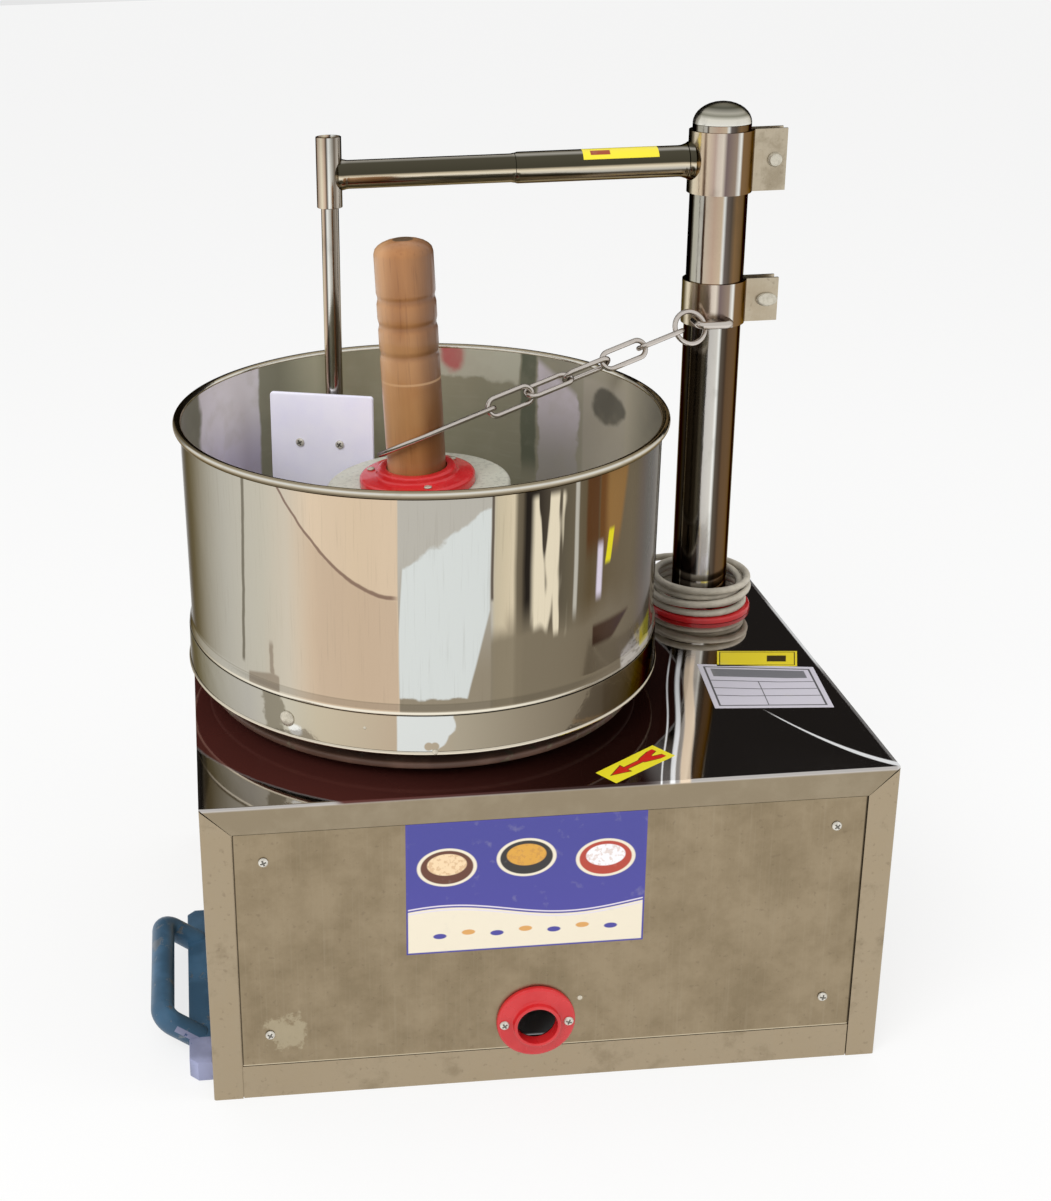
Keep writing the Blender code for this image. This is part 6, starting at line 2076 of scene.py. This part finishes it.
@dataclass
class PestleParts:
    """The pestle: round stone, red collar and turned handle, tilted towards the left."""

    radius: float = 0.079
    edge: float = 0.004
    place: Matrix = field(default_factory=lambda: frame_at(*DRUM_AXIS, DECK + PIVOT, tilt=TILT))

    def build(self) -> None:
        """Make every piece of the pestle."""
        ball = arc((0.0, 0.0), self.radius, 0.0, -radians(86), 24)
        stone = [(0.0, STONE_TOP), (self.radius, STONE_TOP, self.edge)] + ball
        stone.append((0.0, -self.radius))
        Bench.piece("pestle_ball", Bench.lathe(stone, 128), PESTLE_GRANITE, "pestle",
                    "pestle_stone", self.place)
        low = GRIP_BASE
        collar = [(0.0258, low + 0.015, 0.001), (0.0335, low + 0.015, 0.002),
                  (0.0345, low + 0.009, 0.002), (0.0495, low + 0.0085, 0.003), (0.0495, low),
                  (0.0258, low)]
        Bench.piece("red_collar", Bench.lathe(collar, 96, True), RED, "pestle",
                    "pestle_collar", self.place)
        heads = [Bench.moved(screw_shape(0.0034, 0.0018), Matrix.Translation(
            (0.0415 * cos(radians(a)), 0.0415 * sin(radians(a)), low + 0.0090)))
            for a in (35, 155, 275)]
        Bench.piece("collar_screws", Bench.join(heads), BOLT, "pestle", place=self.place)
        self.handle()

    def handle(self) -> None:
        """Turn the wooden handle with its grooves, a step and a domed end."""
        base, shoulder = GRIP_BASE, GRIP_END - 0.011

        def reach(height: float) -> float:
            """Radius of the handle at a height.

            Args:
                height: Height above the pivot.

            Returns:
                The radius.
            """
            return 0.0255 - 0.0009 * (height - base) / (shoulder - base)

        profile = [(0.0, base), (0.0250, base, 0.0008)]
        for height in GROOVES:
            for step, depth in ((-1.0, 0.0), (-0.6, 0.45), (-0.2, 0.95), (0.2, 0.95), (0.6, 0.45),
                                (1.0, 0.0)):
                z = height + step * 0.0050
                profile.append((reach(z) - depth * 0.0010, z))
        profile += [(reach(shoulder), shoulder - 0.0006, 0.0012)]
        profile += [(0.0244 * cos(a), shoulder + 0.011 * sin(a))
                    for a in (radians(d) for d in (15, 28, 41, 54, 66, 78))] + [(0.0, GRIP_END)]
        Bench.piece("wood_handle", Bench.lathe(profile, 96), WOOD, "pestle",
                    "pestle_handle", self.place)


@dataclass
class ColumnParts:
    """The column with its foot ring, cap, clamps, hook and chain."""

    radius: float = COLUMN_RADIUS
    wall: float = 0.002
    top: float = 0.4595
    slot: float = 0.010
    ear: float = 0.057
    bolt_x: float = 0.0465
    place: Matrix = field(default_factory=lambda: frame_at(*COLUMN_AXIS))

    def build(self) -> None:
        """Make every piece of the column."""
        inner, foot, top = self.radius - self.wall, 0.0246, DECK + self.top
        pipe = [(inner, top), (self.radius, top, 0.0005), (self.radius, foot), (inner, foot)]
        Bench.piece("column_pipe", Bench.lathe(pipe, 96, True), COLUMN_STEEL, "cabinet",
                    "column_tube", self.place)
        low = GAP
        dome = [(self.radius * cos(a), low + 0.0185 * sin(a))
                for a in (radians(d) for d in (82, 72, 62, 52, 42, 32, 22, 12, 3))]
        cap = [(0.0, low + 0.0185)] + dome + [(self.radius, low), (inner - GAP, low),
                                              (inner - GAP, low - 0.012), (0.0, low - 0.012)]
        Bench.piece("column_dome", Bench.lathe(cap, 96), CAP_STEEL, "cabinet", "column_cap",
                    frame_at(*COLUMN_AXIS, top))
        base = DECK + GAP
        ring = [(self.radius + GAP, base + 0.005, 0.0008), (0.0485, base + 0.005, 0.002),
                (0.0485, base), (self.radius + GAP, base)]
        Bench.piece("foot_ring", Bench.lathe(ring, 96, True), RED, "cabinet", "foot_flange",
                    self.place)
        self.clamp("chain", "cabinet", 0.281, 0.0395)
        self.clamp("arm", "arm", 0.3995, 0.0545)
        self.chain()

    def clamp(self, name: str, body: str, bottom: float, height: float) -> None:
        """Bend a split band with two ears round the column, and bolt it.

        Args:
            name: Which clamp it is.
            body: The body that it rides on.
            bottom: Its lower edge above the deck.
            height: Its height.
        """
        inner, half = self.radius + GAP, self.slot / 2
        low = DECK + bottom
        start = asin(half / inner)
        shape = bmesh.new()
        pair = [shape.verts.new((inner * cos(start), half, z)) for z in (low, low + height)]
        edge = shape.edges.new(pair)
        made = bmesh.ops.spin(shape, geom=pair + [edge], cent=(0, 0, 0), axis=(0, 0, 1),
                              angle=2 * (pi - start), steps=72)
        last = [g for g in made["geom_last"] if isinstance(g, bmesh.types.BMEdge)]
        ears = bmesh.ops.extrude_edge_only(shape, edges=[edge] + last)
        for vert in [v for v in ears["geom"] if isinstance(v, bmesh.types.BMVert)]:
            vert.co.x = self.ear
        bends = [e for e in shape.edges if len(e.link_faces) == 2 and e.calc_face_angle() > 0.5]
        Bench.rounded(shape, bends, 0.0022, 4)
        leftmost = min(shape.faces, key=lambda f: f.calc_center_median().x)
        Bench.thickened(shape, leftmost, (-1.0, 0.0, 0.0), -CLAMP_WALL)
        for face in shape.faces:
            face.material_index = int(face.calc_center_median().x > self.radius + 0.0035)
        Bench.piece(name + "_band", shape, CLAMP_STEEL, body, name + "_clamp",
                    self.place, more=(EAR_STEEL,))
        seat = half + CLAMP_WALL
        middle = low + height / 2
        if name == "arm":
            head = [(0.0, 0.0042), (0.0030, 0.0042, 0.0006), (0.0052, 0.0034), (0.0063, 0.0018),
                    (0.0065, 0.0004), (0.0065, 0.0), (0.0, 0.0)]
        else:
            head = [(0.0, 0.0045), (0.0050, 0.0040, 0.001), (0.0065, 0.0022, 0.0008),
                    (0.0065, 0.0), (0.0, 0.0)]
        front = Bench.moved(Bench.lathe(head, 40), Matrix.Translation(
            (self.bolt_x, -seat - GAP, middle)) @ TO_FRONT)
        if name == "chain":
            bmesh.ops.scale(front, vec=(1.45, 1.0, 0.95), verts=front.verts,
                            space=Matrix.Translation((-self.bolt_x, 0.0, -middle)))
        shank = Bench.moved(Bench.lathe([(0.0, 0.0), (0.0039, 0.0), (0.0039, 0.030, 0.0006),
                                         (0.0, 0.030)], 24),
                            Matrix.Translation((self.bolt_x, -seat - 0.0002, middle))
                            @ Matrix.Rotation(-pi / 2, 4, "X"))
        nut = Bench.moved(Bench.lathe([(0.0040, 0.0), (0.0068, 0.0, 0.0004),
                                       (0.0068, 0.0045, 0.0006), (0.0040, 0.0045)], 6, True),
                          Matrix.Translation((self.bolt_x, seat + GAP, middle))
                          @ Matrix.Rotation(-pi / 2, 4, "X"))
        Bench.piece(name + "_band_bolt", Bench.join([front, shank, nut]), BOLT, body,
                    name + "_clamp_bolt", self.place)

    def chain(self) -> None:
        """Hang the hook, its ring, five links and the loop round the handle."""
        hook_z = DECK + 0.2874
        seat = self.radius + GAP + CLAMP_WALL + GAP
        starts = [-sqrt(seat ** 2 - (x - 0.0035) ** 2) for x in (0.0230, 0.0050)]
        path = rounded_path([(-0.0230, starts[0], hook_z), (-0.0230, -0.0400, hook_z),
                             (0.0050, -0.0400, hook_z), (0.0050, starts[1], hook_z)], 0.006)
        Bench.piece("hook_rod", Bench.tube(path, 0.0035, sides=20), WIRE_STEEL, "cabinet",
                    "chain_hook", self.place)
        tilt, height = radians(TILT), 0.2205
        along = (height - PIVOT) / cos(tilt)
        finish = Vector((DRUM_AXIS[0] - COLUMN_AXIS[0] + along * sin(tilt), -COLUMN_AXIS[1],
                         DECK + height))
        start = Vector((-0.0303, -0.0340, DECK + 0.2848))
        run = (finish - start).normalized()
        side = Vector((0, 0, 1)).cross(run).normalized()
        up = run.cross(side)
        rolls = (25.0, 115.0, 50.0, -12.0, -75.0)
        wire, spare, ring_radius = 0.0046, 0.0006, 0.0145
        step = ((finish - start).length - ring_radius - 0.070 - 0.007 + wire + spare) / len(rolls)
        length = step + wire + spare

        def link(name: str, node: str, centre: Vector, roll: float, outline: list[Spot]) -> None:
            """Bend one link.

            Args:
                name: The piece's name.
                node: The CAD node that it replaces.
                centre: The link's middle.
                roll: Its turn about the chain in degrees.
                outline: Its centre line in its own plane.
            """
            across = side * cos(radians(roll)) + up * sin(radians(roll))
            points = [centre + run * x + across * y for x, y in outline]
            Bench.piece(name, Bench.tube(points, wire / 2, True, 14), WIRE_STEEL, "cabinet",
                        node, self.place)

        link("hook_ring", "chain_ring", start, 115.0,
             arc((0.0, 0.0), ring_radius, 0.0, 2 * pi, 48)[:-1])
        end = 0.00775
        shank = length / 2 - end
        outline = (arc((shank, 0.0), end, -pi / 2, pi / 2, 14)
                   + arc((-shank, 0.0), end, pi / 2, 3 * pi / 2, 14))
        first = ring_radius - wire - spare + length / 2
        for index, roll in enumerate(rolls):
            link("bent_link_%d" % (index + 1), "chain_link_%d" % (index + 1),
                 start + run * (first + step * index), roll, outline)
        lean = acos((0.0322 - 0.007) / 0.070)
        loop = (arc((0.0, 0.0), 0.0322, lean, 2 * pi - lean, 40)
                + arc((0.070, 0.0), 0.007, -lean, lean, 12))
        link("long_loop", "handle_loop", finish, 25.0, [(-x, y) for x, y in loop])


@dataclass
class ArmParts:
    """The arm with its socket, and the scraper that turns in it."""

    length: float = 0.3466
    step: float = 0.184
    thick: float = PIPE_RADIUS
    thin: float = 0.0125
    socket: float = 0.0112
    rod: float = 0.0078
    yaw: float = -20.0

    def build(self) -> None:
        """Make every piece of the arm and the scraper."""
        place = frame_at(*COLUMN_AXIS, DECK + ARM_HEIGHT) @ Matrix.Rotation(-pi / 2, 4, "Y")
        near = COLUMN_RADIUS + GAP + CLAMP_WALL + CLAMP_WALL + GAP
        bore = self.thick - 0.0015
        thick = [(bore, near), (self.thick + 0.0016, near, 0.0006),
                 (self.thick, near + 0.0045, 0.002), (self.thick, self.step - 0.0025, 0.0012),
                 (self.thin + 0.0004, self.step - 0.0001), (bore - 0.001, self.step - 0.0001)]
        Bench.piece("arm_pipe", Bench.lathe(thick, 64, True), PIPE_STEEL, "arm", "arm_tube", place)
        weld = [(0.0, 0.0262), (self.thick + 0.0042, 0.0262, 0.0005),
                (self.thick + 0.0030, 0.0290), (self.thick + 0.0016, near - GAP, 0.0006),
                (0.0, near - GAP)]
        Bench.piece("arm_weld", Bench.lathe(weld, 64), PIPE_STEEL, "arm", place=place)
        low, high = self.step + GAP, self.length - self.socket
        thin = [(0.0, low), (self.thin + 0.0006, low, 0.0004), (self.thin, low + 0.0022, 0.001),
                (self.thin, high - 0.0045, 0.0015), (self.thin + 0.0012, high + 0.0005),
                (self.thin + 0.0004, high + 0.004), (0.0, high + 0.004)]
        Bench.piece("arm_end_pipe", Bench.lathe(thin, 64), PIPE_STEEL, "arm", "arm_extension",
                    place)
        top, bottom = DECK + ARM_HEIGHT + 0.0335, DECK + ARM_HEIGHT - 0.028
        sleeve = [(0.0, top - 0.0022), (self.socket - 0.0016, top - 0.0022),
                  (self.socket - 0.0014, top, 0.0003), (self.socket, top, 0.0005),
                  (self.socket, bottom, 0.0006), (self.rod + 0.0008, bottom, 0.0004),
                  (self.rod + 0.0008, top - 0.003), (0.0, top - 0.003)]
        axis = frame_at(COLUMN_AXIS[0] - self.length, COLUMN_AXIS[1])
        Bench.piece("scraper_socket", Bench.lathe(sleeve, 64), ROD_STEEL, "arm", place=axis)
        self.scraper(frame_at(COLUMN_AXIS[0] - self.length, COLUMN_AXIS[1], yaw=self.yaw))

    def scraper(self, place: Matrix) -> None:
        """Make the stem with its bracket, the blade and its screws.

        Args:
            place: The scraper's frame.
        """
        high = DECK + ARM_HEIGHT + 0.0335 - 0.003 - GAP
        low = DECK + 0.186 - 0.011
        stem = Bench.lathe([(0.0, high), (self.rod, high, 0.0006), (self.rod, low, 0.0008),
                            (0.0, low)], 48)
        face = -self.rod - 0.003
        bracket = Bench.block((-0.0370, face, low), (0.0165, -self.rod + 0.0012, low + 0.022),
                              0.0008, 2)
        Bench.piece("scraper_stem", Bench.join([stem, bracket]), ROD_STEEL, "scraper",
                    "scraper_rod", place)
        back = face - GAP
        blade = Bench.plate([(-0.0565, DECK + 0.118), (0.0395, DECK + 0.118),
                             (0.0395, DECK + 0.232), (-0.0565, DECK + 0.232)], 0.005, 0.0025,
                            0.0008)
        stand = Matrix.Translation((0.0, back - 0.005, 0.0)) @ TO_FRONT
        Bench.piece("scraper_blade", Bench.moved(blade, stand), LAVENDER, "scraper",
                    "scraper_paddle", place)
        for index, x in enumerate((-0.0290, 0.0085), 1):
            Bench.piece("blade_screw_%d" % index, screw_shape(), SCREW, "scraper",
                        "paddle_screw_%d" % index,
                        place @ Matrix.Translation((x, back - 0.005 - GAP, DECK + 0.186))
                        @ TO_FRONT @ Matrix.Rotation(0.5 * index, 4, "Z"))


@dataclass
class HiddenParts:
    """The frame and the drive inside the cabinet, which keep their CAD shapes."""

    painted: tuple[tuple[Finish, str], ...] = (
        (SHEET_CAD, "front_frame"),
        (DARK_PAINT, "base_frame deck_rail_left deck_rail_right motor_mount"),
        (IRON_CAD, "drum_carrier drum_pulley bearing_housing motor_pulley"),
        (STEEL_CAD, "main_shaft bearing_upper bearing_lower motor_shaft"),
        (BLACK_CAD, "drive_belt"), (MOTOR_GREEN, "motor_body"), (WHITE_CAD, "run_capacitor"))

    def build(self) -> None:
        """Give the CAD nodes their finishes."""
        for finish, nodes in self.painted:
            for name in nodes.split():
                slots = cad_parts[name].data.materials
                slots.clear()
                slots.append(finish.material())
                LOG.info("%s painted with %s", name, finish.name)


@dataclass
class Labels:
    """Plates and foils on the deck, the front and the arm."""

    thickness: float = 0.0002

    @staticmethod
    def foil(corners: Sequence[Vector], design: Print, steps: int = 1,
             bend: float = 0.0) -> tuple[Shape, LabelPrint]:
        """Cut a foil whose print map runs along its first edge.

        Args:
            corners: Lower left, lower right, upper right and upper left corner.
            design: What is printed on it.
            steps: Strips up the foil.
            bend: Radius of the pipe that it is wrapped on, its corners' heights being angles.

        Returns:
            The foil and its finish.
        """
        shape = bmesh.new()
        bmesh.ops.create_grid(shape, x_segments=1, y_segments=steps, size=0.5)
        print_map = shape.loops.layers.uv.new("print")
        for face in shape.faces:
            for loop in face.loops:
                loop[print_map].uv = (loop.vert.co.x + 0.5, loop.vert.co.y + 0.5)
        a, b, c, d = corners
        for vert in shape.verts:
            u, v = vert.co.x + 0.5, vert.co.y + 0.5
            spot = (a * (1 - u) + b * u) * (1 - v) + (d * (1 - u) + c * u) * v
            if bend:
                spot = Vector((spot.x, -bend * cos(spot.z), bend * sin(spot.z)))
            vert.co = spot
        aspect = (b - a).length / ((d - a).length * (bend or 1.0))
        bmesh.ops.recalc_face_normals(shape, faces=shape.faces)
        return shape, LabelPrint(design.value + "_print", design=design, aspect=aspect)

    def build(self) -> None:
        """Stick every label on."""
        lift = DECK + self.thickness
        for name, design, corners in (
                ("arrow_label", Print.ARROW, ((0.0496, -0.2084), (0.1065, -0.1711),
                                              (0.0932, -0.1522), (0.0375, -0.1906))),
                ("small_label", Print.SMALL, ((0.1873, -0.0170), (0.2569, -0.0261),
                                              (0.2671, 0.0036), (0.1964, 0.0129))),
                ("rating_plate", Print.RATING, ((0.1621, -0.0952), (0.2611, -0.1059),
                                                (0.2700, -0.0299), (0.1710, -0.0108)))):
            shape, finish = self.foil([Vector((x, y, lift)) for x, y in corners], design)
            self.stick(name, shape, finish, "cabinet", (0.0, 0.0, -self.thickness), MIDDLE)
        front = PANEL_FACE - self.thickness
        spots = [Vector((x, front, z)) for x, z in (
            (-0.1168, 0.128), (0.0755, 0.128), (0.0755, 0.2475), (-0.1168, 0.2475))]
        shape, finish = self.foil(spots, Print.FRONT)
        self.stick("front_label", shape, finish, "cabinet", (0.0, self.thickness, 0.0), MIDDLE)
        spots = [Vector((x, 0.0, angle)) for x, angle in (
            (-0.125, radians(28)), (-0.058, radians(28)), (-0.058, radians(86)),
            (-0.125, radians(86)))]
        shape, finish = self.foil(spots, Print.ARM, 8, PIPE_RADIUS + self.thickness)
        self.stick("arm_label", shape, finish, "arm", (0.0, 0.0, -self.thickness / 2),
                   frame_at(*COLUMN_AXIS, DECK + ARM_HEIGHT))

    def stick(self, name: str, shape: Shape, finish: Finish, body: str, down: Point,
              place: Matrix) -> None:
        """Give a foil its thickness and stick it on.

        Args:
            name: The piece's name.
            shape: The foil.
            finish: Its print.
            body: The body that it rides on.
            down: From its face to its back.
            place: The frame that it is given in.
        """
        Bench.pushed(shape, bmesh.ops.extrude_face_region(shape, geom=shape.faces[:],
                                                          use_keep_orig=True), down)
        Bench.piece(name, shape, finish, body, place=place)


@dataclass
class Studio:
    """Pale floor, soft light and the dark screen that the deck mirrors."""

    fill: float = 0.92
    key: float = 62.0
    side: float = 14.0

    def build(self) -> None:
        """Set up world, floor, screens and lamps."""
        self.world()
        self.floor()
        self.screen("dark_screen", (0.55, 1.35, 0.95), (1.25, 0.65), (0.018, 0.016, 0.015, 1.0))
        self.screen("grey_screen", (-1.15, 1.35, 0.95), (0.45, 0.65), (0.34, 0.33, 0.31, 1.0))
        self.lamp("key_lamp", (-1.6, -2.0, 2.6), 1.8, self.key)
        self.lamp("side_lamp", (2.2, -0.8, 1.8), 1.4, self.side)
        bpy.context.scene.view_settings.view_transform = "Standard"

    def world(self) -> None:
        """White surroundings for what the camera and mirrors see, softer as light."""
        world = bpy.data.worlds.new("studio_air")
        bpy.context.scene.world = world
        recipe = Recipe(world)
        recipe.tree.nodes.clear()
        strength = recipe.node("ShaderNodeMapRange", {}, {
            "Value": recipe.seen(), "To Min": self.fill, "To Max": 0.98})
        air = recipe.node("ShaderNodeBackground", {}, {"Strength": strength.outputs[0]})
        recipe.node("ShaderNodeOutputWorld", {}, {"Surface": air.outputs[0]})

    def floor(self) -> None:
        """Lay the pale floor, which keeps the shadow."""
        shape = bmesh.new()
        bmesh.ops.create_grid(shape, x_segments=1, y_segments=1, size=12.0)
        made = bpy.data.materials.new("studio_floor")
        recipe = Recipe(made)
        recipe.use_object_spot()
        recipe.surface((0.90, 0.90, 0.89, 1.0), 0.9)
        x, y, _ = recipe.axes()
        open_floor = 1.0 - (1.0 - abs(x).rise(0.268, 0.272)) * y.band(-0.151, 0.205, 0.003)
        glow = recipe.node("ShaderNodeEmission", {}, {"Strength": 0.99})
        recipe.show(recipe.node("ShaderNodeMixShader", {}, {
            0: recipe.seen() * open_floor * 0.74, 1: recipe.shader.outputs[0],
            2: glow.outputs[0]}))
        self.staged(shape, made)

    def screen(self, name: str, centre: Point, half: Spot, colour: Tone) -> None:
        """Stand a screen behind the machine that only mirrors see.

        Args:
            name: The object's name.
            centre: Its middle.
            half: Half its width and half its height.
            colour: How bright it is.
        """
        shape = bmesh.new()
        bmesh.ops.create_grid(shape, x_segments=1, y_segments=1, size=1.0)
        bmesh.ops.scale(shape, vec=(half[0], half[1], 1.0), verts=shape.verts)
        Bench.moved(shape, Matrix.Translation(centre) @ TO_FRONT)
        made = bpy.data.materials.new(name)
        recipe = Recipe(made)
        recipe.show(recipe.node("ShaderNodeEmission", {}, {"Color": colour, "Strength": 1.0}))
        item = self.staged(shape, made)
        item.visible_camera = False
        item.visible_diffuse = False
        item.visible_shadow = False
        item.visible_transmission = False

    @staticmethod
    def staged(shape: Shape, material: bpy.types.Material) -> Item:
        """Put a piece of the studio in the scene.

        Args:
            shape: Its shape, which is used up.
            material: Its material, whose name it takes.

        Returns:
            The object.
        """
        item = Bench.placed(material.name, shape, [material])
        return item

    def lamp(self, name: str, spot: Point, size: float, power: float) -> None:
        """Hang a soft lamp that faces the machine.

        Args:
            name: The lamp's name.
            spot: Where it hangs.
            size: Its width.
            power: Its power in watts.
        """
        data = bpy.data.lights.new(name, "AREA")
        data.size = size
        data.energy = power
        lamp = linked(name, data)
        aim = Vector((0.0, 0.0, 0.35)) - Vector(spot)
        lamp.matrix_world = Matrix.Translation(spot) @ aim.to_track_quat("-Z", "Y").to_matrix(
            ).to_4x4()
        lamp.visible_glossy = False


def main() -> None:
    """Build the camera, the machine and the studio."""
    logging.basicConfig(level=logging.INFO, format="%(message)s")
    PhotoCamera().build()
    for group in (MainsLead, Cabinet, DrumParts, PestleParts, ColumnParts, ArmParts, HiddenParts,
                  Labels, Studio):
        group().build()


if __name__ == "__main__":
    main()
